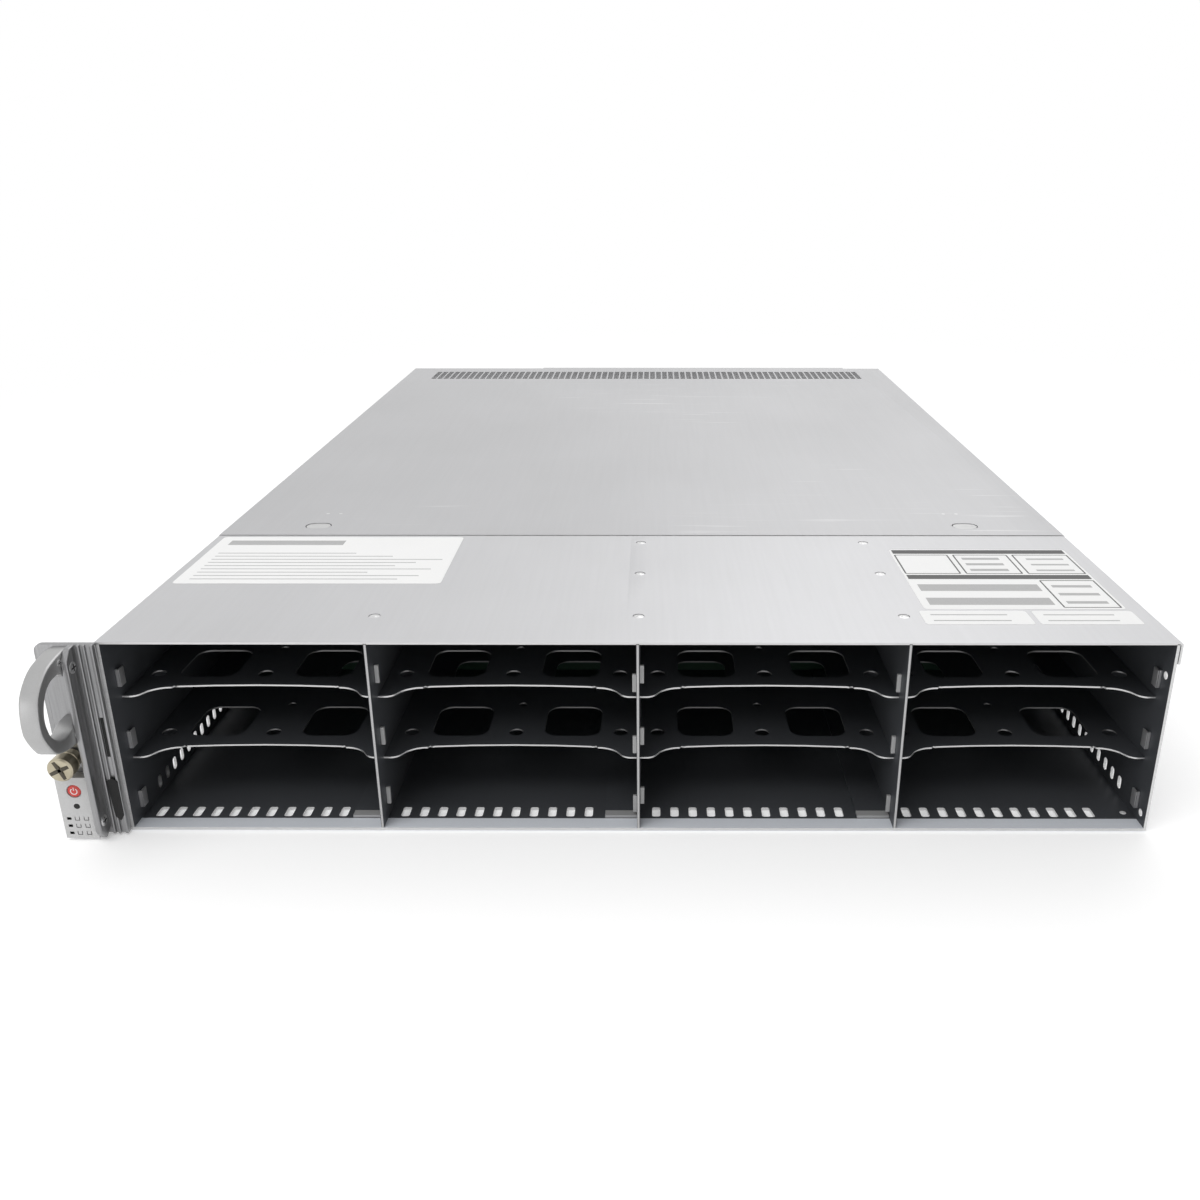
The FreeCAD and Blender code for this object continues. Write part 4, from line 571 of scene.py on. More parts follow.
cover = blank((-HALF, HALF), (FRONT, SEAM))
for x, y in RIVETS:
    hole(cover, x, y, 2.5)
for side in (-HALF, HALF):
    fold(cover, border(cover, 0, side), FLANGE)
thicken(cover, COVER_SHEET)
stand(cover, "z", COVER_TOP)
# The front rim is a cut edge; the underside takes the dark sheet as painted shade.
for face in cover.faces:
    if face.calc_center_median().y < FRONT + 0.01:
        face.material_index = 1
    elif face.normal.z < -0.5:
        face.material_index = 2
piece("top_cover", cover, "chassis",
      [finish("cover_sheet", cover_painted_light_shade), edge_steel_and_highlight, dark_sheet_and_painted_shade],
      ["front_top_cover"])

bright = finish("bright_steel", mottled(grey(0.50), grey(0.74), 260.0, 3.0, 0.26, 0.16, {"Metallic": 0.95}))
rivets = bmesh.new()
for x, y in RIVETS:
    head = turned([(0, 0.06), (0.8, 0.05), (1.1, -0.12), (1.9, -0.06), (2.35, -0.25), (2.35, -1.0)], 16)
    gather(rivets, aim(head, (x, y, COVER_TOP), (0, 0, 1)))
piece("cover_rivets", rivets, "chassis", [bright])

# Stickers on the top cover: a wide white one with plain lines, a chart with grey bands and empty boxes, and
# two small tags. Each is a thin paper pad with rounded corners, with its print as flat blocks in the pad.
PRINT = (COVER_TOP, COVER_TOP + 0.095)
PAD = 0.1
WIDE_X, WIDE_Y = (-214.0, -91.0), (-256.0, -187.5)
LINE_ENDS, LINE_PITCH = (-112.0, -103.0, -128.0, -99.0, -117.0, -108.0, -96.0, -121.0, -140.0), 4.6
CHART_X, CHART_Y = (123.0, 210.0), (-287.0, -207.0)
CHART_BANDS = ((-213.5, -208.0), (-249.5, -244.0))
CHART_BOXES = (((124.5, 150.0), (-242.0, -215.5)), ((153.0, 179.0), (-242.0, -215.5)),
               ((182.0, 208.5), (-242.0, -215.5)), ((184.0, 208.5), (-285.0, -251.5)))
RULE = 0.35
TAGS_X, TAGS_Y = ((120.0, 165.6), (168.0, 211.0)), (-304.0, -289.0)


def paper_shade(at):
    pulp = at.noise(900.0, 4.0)
    return {
        "Base Color": (pulp * 0.6 + at.noise(30.0) * 0.4).blend((0.80, 0.80, 0.80, 1), (0.90, 0.90, 0.89, 1)),
        "Roughness": 0.42 + pulp * 0.2,
        "Normal": pulp.bump(0.1, 0.02),
    }


paper = finish("label_paper", paper_shade)
ink = finish("label_ink", mottled(grey(0.035), grey(0.085), 1500.0, 2.0, 0.45, 0.2))
pale_ink = finish("label_pale_ink", mottled(grey(0.36), grey(0.48), 1500.0, 2.0, 0.45, 0.2))


def rounded(x, y, corner):
    """A flat sheet between two (low, high) pairs, with all its corners rounded."""
    return outline([(x[0], y[0], corner), (x[1], y[0], corner), (x[1], y[1], corner), (x[0], y[1], corner)])


def sticker(x, y, corner=2.0):
    pad = rounded(x, y, corner)
    thicken(pad, PAD)
    return stand(pad, "z", COVER_TOP + 0.07)


stickers = sticker(WIDE_X, WIDE_Y)
for i, end in enumerate(LINE_ENDS):
    low = -250.5 + i * LINE_PITCH
    bar(stickers, (-208.0, end), (low, low + 0.9), PRINT, coat=2)
bar(stickers, (-208.0, -150.0), (-200.5, -193.5), PRINT, coat=2)
chart = sticker(CHART_X, CHART_Y)
for y in CHART_BANDS:
    bar(chart, (124.2, 208.8), y, PRINT, coat=1)
for box_x, box_y in CHART_BOXES:
    for y in box_y:
        bar(chart, box_x, (y - RULE, y + RULE), PRINT, coat=1)
    for x in box_x:
        bar(chart, (x - RULE, x + RULE), box_y, PRINT, coat=1)
for row in range(3):
    bar(chart, (187.0, 205.0), (-238.5 + row * 8.0, -236.5 + row * 8.0), PRINT, coat=2)
    bar(chart, (156.0, 174.0), (-238.5 + row * 8.0, -235.5 + row * 8.0), PRINT, coat=2)
    bar(chart, (187.0, 205.0), (-280.5 + row * 10.0, -277.5 + row * 10.0), PRINT, coat=2)
for y in (-282.0, -265.0):
    bar(chart, (126.5, 181.0), (y, y + 8.5), PRINT, coat=2)
for x in TAGS_X:
    tag = sticker(x, TAGS_Y, 1.5)
    for y in (-300.5, -294.0):
        bar(tag, (x[0] + 4.0, x[1] - 9.0), (y, y + 1.0), PRINT, coat=2)
    gather(chart, tag)
gather(stickers, chart)
piece("cover_stickers", stickers, "chassis", [paper, ink, pale_ink])

# Lid: a lift-off sheet of the same steel, bent down at the sides and rear, with a field of square vents along
# its rear edge, an oval window for each release button and two weld dots behind each window. Its rear lip
# takes the darker zinc of all the sheets at the rear, a painted shade, with a painted highlight on the bend
# above it, and its underside is dark as painted shade.
LID_FRONT, LID_CORNER, LID_TONGUE = SEAM + 0.5, REAR + 1.3, REAR + 6.0
TONGUE = (-97.6, 184.7)
TONGUE_DROP, CORNER_DROP = 4.0, 3.4
LID_VENTS_X, LID_VENTS_Y = (-194.0, 194.0), (269.5, 306.5)
BUTTON_X, BUTTON_Y = 171.0, SEAM + 16.0
BUTTON_WIDE, BUTTON_LONG = 6.8, 4.8


# A darker copy of the zinc: painted shade on the sheets at the rear, the lid's rear lip and the left riser.
def rear_shade(at):
    skin = zinc_shade(at)
    skin["Base Color"] = at.noise(26.0, 5.0).blend(grey(0.19, 1.03), grey(0.31, 1.03))
    return skin


def lid_shade(at):
    skin = zinc_shade(at)
    drawn = at.node("Mapping", None,
                    {"Vector": at, "Rotation": (0, 0, radians(64)), "Scale": (3.0, 70.0, 3.0)})
    rubbed = drawn.noise(4.0, 2.0).ramp(0.62, 0.70) * at.noise(7.0, 2.0).ramp(0.55, 0.68)
    skin["Base Color"] = (rubbed * 0.32).blend(skin["Base Color"], grey(0.80))
    return skin


def button_shade(at):
    rub = at.stretched(1.0, 12.0, 1.0).noise(60.0, 3.0)
    return {"Base Color": rub.blend(grey(0.44), grey(0.64)), "Metallic": 0.8, "Roughness": 0.3 + rub * 0.15}


lid = blank((-HALF, HALF), (LID_FRONT, LID_TONGUE))
window(lid, (-HALF, TONGUE[0]), (LID_CORNER, LID_TONGUE))
window(lid, (TONGUE[1], HALF), (LID_CORNER, LID_TONGUE))
vents(lid, LID_VENTS_X, LID_VENTS_Y, 71, 6, 1.25)
for x in (-BUTTON_X, BUTTON_X):
    window(lid, (x - BUTTON_WIDE, x + BUTTON_WIDE), (BUTTON_Y - BUTTON_LONG, BUTTON_Y + BUTTON_LONG), 4.7, 6)
fold(lid, border(lid, 1, LID_TONGUE), TONGUE_DROP)
fold(lid, border(lid, 1, LID_CORNER, TONGUE[1], HALF), CORNER_DROP)
for side in (-HALF, HALF):
    fold(lid, border(lid, 0, side), FLANGE)
thicken(lid, COVER_SHEET)
stand(lid, "z", TOP)
# Front rim: cut edge. Underside: dark sheet as painted shade. Rear lip face: the rear zinc, painted shade.
# The bend above it: the bright edge finish as a painted highlight.
for face in lid.faces:
    if face.calc_center_median().y < LID_FRONT + 0.01:
        face.material_index = 1
    elif face.normal.z < -0.5:
        face.material_index = 2
    elif face.normal.y > 0.85:
        face.material_index = 3
    elif face.normal.y > 0.2:
        face.material_index = 1
rear_painted_shade_zinc = finish("rear_steel_painted_shade", rear_shade)
piece("lid_sheet", lid, "lid",
      [finish("lid_sheet", lid_shade), edge_steel_and_highlight, dark_sheet_and_painted_shade, rear_painted_shade_zinc], ["lid"])

dots = bmesh.new()
for x in (-BUTTON_X, BUTTON_X):
    for way in (-3.5, 3.5):
        dot = turned([(0, 0.05), (0.7, 0.04), (1.0, 0.0), (1.0, -0.2)], 12)
        gather(dots, aim(dot, (x * 0.985 + way, BUTTON_Y + 22.0, TOP), (0, 0, 1)))
piece("lid_weld_dots", dots, "lid", [bright])

button_steel = finish("button_steel", button_shade)
for side in ("left", "right"):
    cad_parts[f"lid_button_{side}"].data.materials[0] = button_steel

# Rack ear: a satin aluminium extrusion screwed to the left wall. A flat flange carries a forward fin with
# clipped ends, and between fin and wall run two raised beads beside a slot drawn as a dark bar, a painted
# shade. A dark notch below it is painted shade too.
EAR_EDGE, EAR_FACE, EAR_SHEET = -241.3, FRONT - 2.5, 2.5
EAR_Z = (0.3, 87.7)
FIN, FIN_TIP, FIN_CLIP = (-227.05, -224.55), EAR_FACE - 8.0, EAR_FACE - 4.2
EAR_ROOT = EAR_FACE + 0.4
THUMB = (-234.3, 37.0)


def aluminium_shade(at):
    brushed = at.stretched(30.0, 30.0, 1.2).noise(40.0, 4.0)
    grain = at.noise(1800.0, 2.0)
    return {
        "Base Color": (brushed * 0.7 + grain * 0.3).blend(grey(0.23, 1.01), grey(0.42, 1.02)),
        "Metallic": 0.9,
        "Roughness": 0.26 + grain * 0.10 + brushed * 0.06,
        "Normal": grain.bump(0.1, 0.03),
    }


aluminium = finish("satin_aluminium", aluminium_shade)
# Painted shade: a near-black finish laid in gaps, holes, screw recesses, slots and socket mouths.
gap_shadow = finish("painted_gap_shadow", mottled(grey(0.004), grey(0.012), 700.0, 3.0, 0.6, 0.2))


def eased(bm, amount, angle=40, steps=2):
    """Rounds the sharp edges of a closed piece."""
    edges = [e for e in bm.edges if len(e.link_faces) == 2 and e.calc_face_angle(0) > radians(angle)]
    bmesh.ops.bevel(bm, geom=edges, offset=amount, affect="EDGES", segments=steps, profile=0.5, material=-1)
    return bm


def coated(bm, coat):
    """Gives all the faces of a mesh one of its piece's finishes."""
    for face in bm.faces:
        face.material_index = coat
    return bm


ear = outline([(EAR_EDGE, EAR_Z[0], 3.0), (-WALL, EAR_Z[0], 0), (-WALL, EAR_Z[1], 0),
               (EAR_EDGE, EAR_Z[1], 3.0)])
hole(ear, *THUMB, 2.55)
thicken(ear, EAR_SHEET)
eased(stand(ear, "y", EAR_FACE), 0.35)
fin = outline([(EAR_ROOT, EAR_Z[0] + 3.0, 0), (FIN_CLIP, EAR_Z[0], 1.0), (FIN_TIP, EAR_Z[0] + 4.5, 1.0),
               (FIN_TIP, EAR_Z[1] - 4.5, 1.0), (FIN_CLIP, EAR_Z[1], 1.0), (EAR_ROOT, EAR_Z[1], 0)])
thicken(fin, FIN[1] - FIN[0])
gather(ear, eased(stand(fin, "x", FIN[1]), 0.55, steps=3))
bar(ear, (-223.6, -222.4), (EAR_FACE - 1.2, EAR_ROOT), EAR_Z, 0.4, 3)
bar(ear, (-221.2, -220.2), (EAR_FACE - 1.2, EAR_ROOT), EAR_Z, 0.35, 3)
bar(ear, (-218.4, -WALL), (EAR_FACE - 0.9, EAR_ROOT), EAR_Z, 0.3, 3)
bar(ear, (-219.2, -WALL), (FRONT - 0.4, FRONT + 40.0), (1.2, 78.2), 0.3)
bar(ear, (-220.0, -218.5), (EAR_FACE - 0.35, EAR_FACE + 0.3), (37.0, 55.0), 0.2, coat=1)
notch = outline([(-222.0, 26.0, 0), (-219.6, 27.4, 0), (-217.5, 25.6, 0), (-217.5, 9.4, 0), (-219.0, 7.0, 0),
                 (-221.0, 9.0, 0)])
thicken(notch, 1.2)
gather(ear, stand(coated(notch, 1), "y", EAR_FACE - 1.3))
piece("rack_ear", ear, "chassis", [aluminium, gap_shadow], ["ear_bracket"])


def screw(radius, height=1.6, recess=0.62):
    """A pan head standing on Z = 0, its cross recess drawn as bars in its second finish, a painted shade."""
    head = turned([(0, height), (radius * 0.45, height * 0.97), (radius * 0.8, height * 0.72),
                   (radius, height * 0.3), (radius, 0), (0, 0)], 18)
    arm, half = radius * recess, radius * 0.12
    depth = (height * 0.6, height + 0.02)
    bar(head, (-arm, arm), (-half, half), depth, coat=1)
    bar(head, (-half, half), (-arm, arm), depth, coat=1)
    return head


ear_screws = bmesh.new()
for z in (79.5, 9.0):
    gather(ear_screws, aim(screw(2.5, 0.6), (FIN[1] - 0.1, FIN_CLIP, z), (1, 0, 0)))
piece("ear_screws", ear_screws, "chassis", [bright, gap_shadow])

# Pull handle: a D-shaped loop of the same aluminium beside the fin, with softly rounded edges, bead-blasted
# and held by two screws through lugs at its roots.
HANDLE_WIDE = 7.4
HANDLE_ROOT = -325.8


def blasted_shade(at):
    bead = at.noise(2400.0, 3.0)
    return {
        "Base Color": (bead * 0.6 + at.noise(25.0) * 0.4).blend(grey(0.36), grey(0.52)),
        "Metallic": 0.9,
        "Roughness": 0.34 + bead * 0.16,
        "Normal": bead.bump(0.5, 0.05),
    }


outer_bow = [(HANDLE_ROOT, 86.9, 0), (-337.0, 86.9, 6.0), (-349.5, 83.0, 7.0), (-356.8, 72.0, 9.0),
             (-355.8, 59.0, 9.0), (-348.0, 49.0, 7.0), (-336.0, 47.1, 4.0), (HANDLE_ROOT, 47.1, 0)]
inner_bow = [(HANDLE_ROOT, 56.5, 0), (-333.0, 56.0, 3.0), (-339.5, 52.8, 3.5), (-347.5, 55.5, 4.5),
             (-351.3, 62.5, 3.5), (-351.3, 71.0, 4.5), (-345.0, 78.8, 4.0), (-335.0, 79.5, 2.0),
             (-333.0, 76.5, 1.5), (HANDLE_ROOT, 76.5, 0)]
handle = outline(outer_bow + inner_bow, 5)
thicken(handle, HANDLE_WIDE)
eased(stand(handle, "x", FIN[0]), 0.9, 55, 3)
piece("pull_handle", handle, "chassis", [finish("blasted_aluminium", blasted_shade)],
      ["ear_handle"], 40)
handle_screws = bmesh.new()
for y, z in ((-334.5, 83.4), (-332.5, 51.2)):
    gather(handle_screws, aim(screw(1.5, 0.4), (FIN[0] - 0.05, y, z), (1, 0, 0)))
piece("handle_screws", handle_screws, "chassis", [bright, gap_shadow])

# Captive rack screw: a nickel-plated turned grip with a chamfered face and a cross slot drawn as darker
# nickel bars, a painted shade, on a collar that seats on the flange.
CROSS_LONG, CROSS_WIDE, CROSS_DEPTH = 4.4, 0.8, (9.4, 11.62)


def spun(bm, angle):
    """Turns a mesh about Z by an angle in degrees."""
    bmesh.ops.rotate(bm, cent=(0, 0, 0), matrix=Matrix.Rotation(radians(angle), 3, "Z"), verts=bm.verts)
    return bm


nickel = finish("nickel_plate", mottled(
    (0.34, 0.30, 0.21, 1), (0.58, 0.53, 0.41, 1), 180.0, 4.0, 0.22, 0.18, {"Metallic": 0.95}))
slot_painted_shade = finish("slot_painted_shade", mottled(
    (0.05, 0.045, 0.035, 1), (0.13, 0.115, 0.09, 1), 220.0, 3.0, 0.35, 0.15, {"Metallic": 0.8}))
grip = turned([(0, 11.2), (1.4, 11.2), (4.3, 11.6), (4.7, 11.5), (5.3, 10.8), (5.3, 6.6), (4.9, 6.2),
               (4.9, 5.4), (5.2, 5.0), (4.9, 4.3), (4.1, 4.2), (4.1, 0.4), (2.1, 0.3), (2.1, -3.1),
               (2.5, -3.3), (2.5, -11.0), (2.0, -11.9), (0, -11.9)], 32)
for angle in (25.0, 115.0):
    slot = bmesh.new()
    bar(slot, (-CROSS_LONG, CROSS_LONG), (-CROSS_WIDE, CROSS_WIDE), CROSS_DEPTH, 0.12, coat=1)
    gather(grip, spun(slot, angle))
aim(grip, (THUMB[0], EAR_FACE - 0.3, THUMB[1]), (0, -1, 0))
piece("rack_screw", grip, "thumbscrew", [nickel, slot_painted_shade], ["thumbscrew"])

# Button box at the foot of the ear: a pale grey moulded housing with a reset pinhole, small indicator windows
# and line symbols, and the red power button with its white sign.
BOX_X, BOX_Y, BOX_Z = (EAR_EDGE, FIN[0] - 0.3), EAR_FACE - 5.0, (0.8, 29.8)
POWER_Z, PINHOLE_Z, LAMPS_Z = 23.3, 16.2, (10.3, 6.8, 3.3)
LAMP_X, SYMBOLS_X, SYMBOL_HALF = -238.6, (-235.2, -231.4), 0.9
SIGN_LINE, SIGN_RADIUS = 0.34, 1.35

moulding = finish("grey_moulding", mottled(
    grey(0.50), grey(0.58), 1300.0, 3.0, 0.45, 0.15, bump=(0.25, 0.04)))
white_print = finish("white_print", mottled(grey(0.74), grey(0.88), 1500.0, 2.0, 0.5, 0.1))
red = finish("red_plastic", mottled(
    (0.50, 0.030, 0.022, 1), (0.66, 0.052, 0.036, 1), 600.0, 3.0, 0.32, 0.15, {"Coat Weight": 0.3}))
box = blank(BOX_X, BOX_Z)
hole(box, THUMB[0], POWER_Z, 3.1)
thicken(box, 1.0)
stand(box, "y", BOX_Y)
bar(box, BOX_X, (BOX_Y + 0.9, EAR_FACE), BOX_Z, 0.3)
for z in LAMPS_Z:
    bar(box, (LAMP_X - 0.9, LAMP_X + 0.9), (BOX_Y, BOX_Y + 0.4), (z - 0.6, z + 0.6), coat=1)
    for x in SYMBOLS_X:
        for stroke in (x - SYMBOL_HALF, x + SYMBOL_HALF):
            bar(box, (stroke - 0.14, stroke + 0.14), (BOX_Y, BOX_Y + 0.3), (z - 0.9, z + 0.9), coat=2)
        bar(box, (x - SYMBOL_HALF, x + SYMBOL_HALF), (BOX_Y, BOX_Y + 0.3), (z - 0.95, z - 0.65), coat=2)
pinhole = turned([(0, 0.02), (1.1, 0.02), (1.3, 0.0), (1.3, -0.5)], 20)
gather(box, aim(coated(pinhole, 1), (THUMB[0], BOX_Y, PINHOLE_Z), (0, -1, 0)))
piece("button_box", box, "chassis", [moulding, gap_shadow, ink], ["control_panel"])

power = turned([(0, 0.0), (2.3, -0.05), (2.75, -0.35), (2.8, -0.8), (2.8, -2.4), (0, -2.4)], 28)
sign = bmesh.new()
stroke = [sign.verts.new((SIGN_RADIUS + side * SIGN_LINE / 2, 0, 0)) for side in (-1, 1)]
sign.edges.new(stroke)
spun(sign, 125)
bmesh.ops.spin(sign, geom=[*sign.verts, *sign.edges], cent=(0, 0, 0), axis=(0, 0, 1), angle=radians(290),
               steps=20)
bmesh.ops.recalc_face_normals(sign, faces=sign.faces)
thicken(face_up(sign), 0.06)
bar(sign, (-SIGN_LINE / 2, SIGN_LINE / 2), (0.35, 1.75), (-0.05, 0.0))
bmesh.ops.translate(coated(sign, 1), vec=(0, 0, 0.03), verts=sign.verts)
gather(power, sign)
turn = Matrix.Translation((THUMB[0], BOX_Y + 0.05, POWER_Z)) @ TURNED["y"]
bmesh.ops.transform(power, matrix=turn, verts=power.verts)
piece("power_key", power, "power_button", [red, white_print], ["power_button"])

# Side screws: flat cross-recess heads in both walls, which hold the drive cage and the supply cage inside.
# Bright zinc-plated steel, all but flush with the sheet.
SIDE_SCREWS = ((-250.0, 60.0), (-250.0, 24.0), (-176.0, 60.0), (-176.0, 24.0), (-40.0, 34.0), (130.0, 34.0),
               (300.0, 62.0), (300.0, 24.0))
side_screws = bmesh.new()
for side in (-1, 1):
    for y, z in SIDE_SCREWS:
        gather(side_screws, aim(screw(2.7, 0.5), (side * (WALL - 0.02), y, z), (side, 0, 0)))
piece("side_screws", side_screws, "chassis", [bright, gap_shadow])

# Inside the case: green circuit boards with solder mask and copper traces, black moulded sockets and fans,
# finned aluminium coolers and a steel cage darkened as painted shade. These keep their modelled shape and
# only take a finish.


def board_shade(at):
    tracks = at.node("TexBrick", {"offset": 0.5}, {
        "Vector": at, "Scale": 140.0, "Mortar Size": 0.03,
        "Color1": grey(0.0), "Color2": grey(0.15), "Mortar": grey(1.0)})
    mottle = at.noise(90.0, 4.0)
    mask = mottle.blend((0.004, 0.024, 0.012, 1), (0.007, 0.040, 0.020, 1))
    return {
        "Base Color": (tracks * 0.5).blend(mask, (0.02, 0.09, 0.045, 1)),
        "Roughness": 0.34 + mottle * 0.2,
        "Coat Weight": 0.2,
    }


def fin_shade(at):
    drawn = at.stretched(40.0, 1.5, 40.0).noise(30.0, 4.0)
    return {
        "Base Color": drawn.blend(grey(0.20), grey(0.34)),
        "Metallic": 0.9,
        "Roughness": 0.3 + drawn * 0.2,
    }


def module_shade(at):
    along_row = at.node("Mapping", None, {"Vector": at, "Rotation": (0, radians(90), radians(90))})
    chips = at.node("TexBrick", {"offset": 0.0}, {
        "Vector": along_row, "Scale": 42.0, "Mortar Size": 0.12,
        "Color1": grey(0.012), "Color2": grey(0.02), "Mortar": (0.01, 0.09, 0.04, 1)})
    return {"Base Color": chips, "Roughness": 0.4 + at.noise(400.0) * 0.15}


# A darker copy of the zinc: painted shade on the supply cage inside the case.
def inner_painted_shade(at):
    skin = zinc_shade(at)
    skin["Base Color"] = at.noise(12.0, 5.0).blend(grey(0.13), grey(0.22))
    return skin


board = finish("circuit_board", board_shade)
black = finish("black_moulding", mottled(
    grey(0.006), grey(0.015), 1200.0, 3.0, 0.38, 0.2, {"Specular IOR Level": 0.3}, (0.2, 0.03)))
fins = finish("drawn_aluminium", fin_shade)
INSIDE = (
    (board, ("drive_backplane", "motherboard", "riser_card", "power_board")),
    (black, ("backplane_sockets", "fan_housings", "fan_rotor_1", "fan_rotor_2", "fan_rotor_3")),
    (fins, ("cpu_heatsinks",)),
    (finish("memory_module", module_shade), ("memory_modules",)),
    (finish("inner_steel_painted_shade", inner_painted_shade), ("psu_cage",)),
)
for material, names in INSIDE:
    for name in names:
        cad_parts[name].data.materials[0] = material

# Parts on the main board: capacitor cans, chokes, slots, plugs, chips with their resistors, a finned sink
# and a cell in its holder, all soldered to the board's upper face, and the screws that hold the board.
BOARD = 7.5
CANS_X, CANS_Y = (*range(-188, -108, 13), *range(-42, 40, 13)), (38.0, -66.5)
CHOKE_Y, DRIVER_Y = (46.0, 55.0), (59.0, 64.0)
CHIPS = ((-20, 95, 16), (22, 105, 12), (-72, 90, 18), (-140, 85, 14), (-176, 95, 10), (30, 215, 20),
         (-30, 215, 14), (-60, 185, 12), (-78, 235, 10), (-22, 258, 16), (34, 255, 12), (-130, 270, 14),
         (-187, 255, 12), (-196, 140, 10), (-85, 125, 12), (-60, 140, 14))
RESISTOR_PITCH = 2.5
CARD_SLOTS_X, CARD_SLOT_TOP = (-125.0, -150.0, -175.0), BOARD + 11.0
FAN_PLUGS_X, FAN_PLUG_TOP = (-200.0, -170.0, -140.0, -20.0, 10.0, 40.0), BOARD + 7.0
MAINS_PLUG_TOP, MAINS_PITCH = BOARD + 12.0, 5.2
SINK_X, SINK_Y, SINK_PITCH = (-22.0, 20.0), (135.0, 177.0), 4.07
CELL = (42.0, 165.0, BOARD)
BOARD_SCREWS = ((-207, -80), (53, -84), (-207, 62), (53, 55), (-207, 205), (53, 190), (-207, 300), (-90, 215),
                (53, 235))


def can_shade(at):
    drawn = at.noise(300.0, 3.0)
    crown = at.along("Z") > (BOARD + 8.2) * MM
    return {
        "Base Color": crown.blend(drawn.blend(grey(0.50), grey(0.66)), grey(0.30)),
        "Metallic": 0.9,
        "Roughness": 0.28 + drawn * 0.18,
    }


can_steel = finish("capacitor_can", can_shade)
choke = finish("pressed_choke", mottled(grey(0.09), grey(0.17), 500.0, 4.0, 0.5, 0.2, bump=(0.2, 0.05)))
nylon = finish("pale_nylon", mottled(
    (0.58, 0.57, 0.52, 1), (0.70, 0.69, 0.64, 1), 200.0, 3.0, 0.42, 0.15))
parts = bmesh.new()
for x in CANS_X:
    for y in CANS_Y:
        can = turned([(0, 8.4), (2.6, 8.4), (3.1, 7.9), (3.1, 1.6), (2.7, 1.1), (3.1, 0.6), (3.1, 0.0)], 14)
        gather(parts, aim(coated(can, 1), (x, y, BOARD), (0, 0, 1)))
    bar(parts, (x - 4.5, x + 4.5), CHOKE_Y, (BOARD, BOARD + 6.5), 0.7, 2, 2)
    bar(parts, (x - 3.0, x + 3.0), DRIVER_Y, (BOARD, BOARD + 1.2), 0.2)
for x, y, size in CHIPS:
    half, top = size / 2, BOARD + 0.8 + size * 0.05
    bar(parts, (x - half, x + half), (y - half, y + half), (BOARD, top), 0.25)
    for i in range(int(size / RESISTOR_PITCH)):
        u = x - half + i * RESISTOR_PITCH
        for v in (y - half - 3.0, y + half + 2.0):
            bar(parts, (u, u + 0.9), (v, v + 1.7), (BOARD, BOARD + 0.6), coat=3 if i % 2 else 0)
for x in CARD_SLOTS_X:
    bar(parts, (x - 3.7, x + 3.7), (125.0, 215.0), (BOARD, CARD_SLOT_TOP), 0.5)
    bar(parts, (x - 0.9, x + 0.9), (128.0, 212.0), (CARD_SLOT_TOP - 1.0, CARD_SLOT_TOP + 0.04), coat=4)
    bar(parts, (x - 3.0, x + 3.0), (215.5, 220.0), (BOARD, BOARD + 13.0), 0.6, coat=3)
for x in FAN_PLUGS_X:
    bar(parts, (x - 6.0, x + 6.0), (-84.5, -77.5), (BOARD, FAN_PLUG_TOP), 0.4, coat=3)
    bar(parts, (x - 4.6, x + 4.6), (-83.0, -79.0), (FAN_PLUG_TOP - 1.0, FAN_PLUG_TOP + 0.04), coat=4)
bar(parts, (45.5, 57.5), (70.0, 125.0), (BOARD, MAINS_PLUG_TOP), 0.5)
for i in range(10):
    y = 72.2 + i * MAINS_PITCH
    for x in (47.2, 52.4):
        bar(parts, (x, x + 3.4), (y, y + 3.4), (MAINS_PLUG_TOP - 1.0, MAINS_PLUG_TOP + 0.04), coat=4)
bar(parts, SINK_X, SINK_Y, (BOARD, BOARD + 3.2), 0.3, coat=5)
for i in range(11):
    x = SINK_X[0] + i * SINK_PITCH
    bar(parts, (x, x + 1.3), SINK_Y, (BOARD + 3.0, BOARD + 13.0), 0.2, 1, 5)
cell = turned([(0, 3.4), (9.2, 3.4), (10.0, 2.8), (10.0, 0.0)], 28)
holder = turned([(10.2, 0.0), (10.2, 3.8), (11.8, 3.8), (11.8, 0.0)], 28)
gather(parts, aim(coated(cell, 1), CELL, (0, 0, 1)), aim(holder, CELL, (0, 0, 1)))
piece("board_parts", parts, "chassis", [black, can_steel, choke, nylon, gap_shadow, fins])
board_screws = bmesh.new()
for x, y in BOARD_SCREWS:
    gather(board_screws, aim(screw(2.6, 1.6), (x, y, BOARD), (0, 0, 1)))
piece("board_screws", board_screws, "chassis", [bright, gap_shadow])

# Power supplies: folded boxes of pale steel with a punched finger guard, a moulded mains inlet, a wire bail
# on two lugs, four brass-coloured screws, a small status lens and a moulded release lever.
PSU_FACE, PSU_Z, PSU_DEPTH = REAR - 2.0, (1.5, 42.5), 330.0
PSU_WIDTH, PSU_LEFT = 74.0, (140.3, 64.3)
PSU_SHEET = 1.2
FAN_SIDE, FAN_Z, FAN_SCREW = 20.5, 22.0, 16.2
INLET_SIDE, INLET_Z, INLET_WIDE, INLET_HIGH = 54.5, 25.0, 11.0, 15.0
INLET_DEPTH, BLADES = 15.5, ((-2.5, 0.0), (3.0, 6.2), (3.0, -6.2))
LUG_Y, LUG_Z = (PSU_FACE - 0.3, PSU_FACE + 6.2), (19.2, 24.8)
BAIL_Y, BAIL_LEG, BAIL_END = PSU_FACE + 3.4, 16.2, 19.7
BAIL_TIGHT, BAIL_WIDE = 1.4, 4.7
LEVER_WIDE, LEVER_TIP, LEVER_TOP, LEVER_THICK = 12.0, PSU_FACE + 14.0, 7.8, 5.3


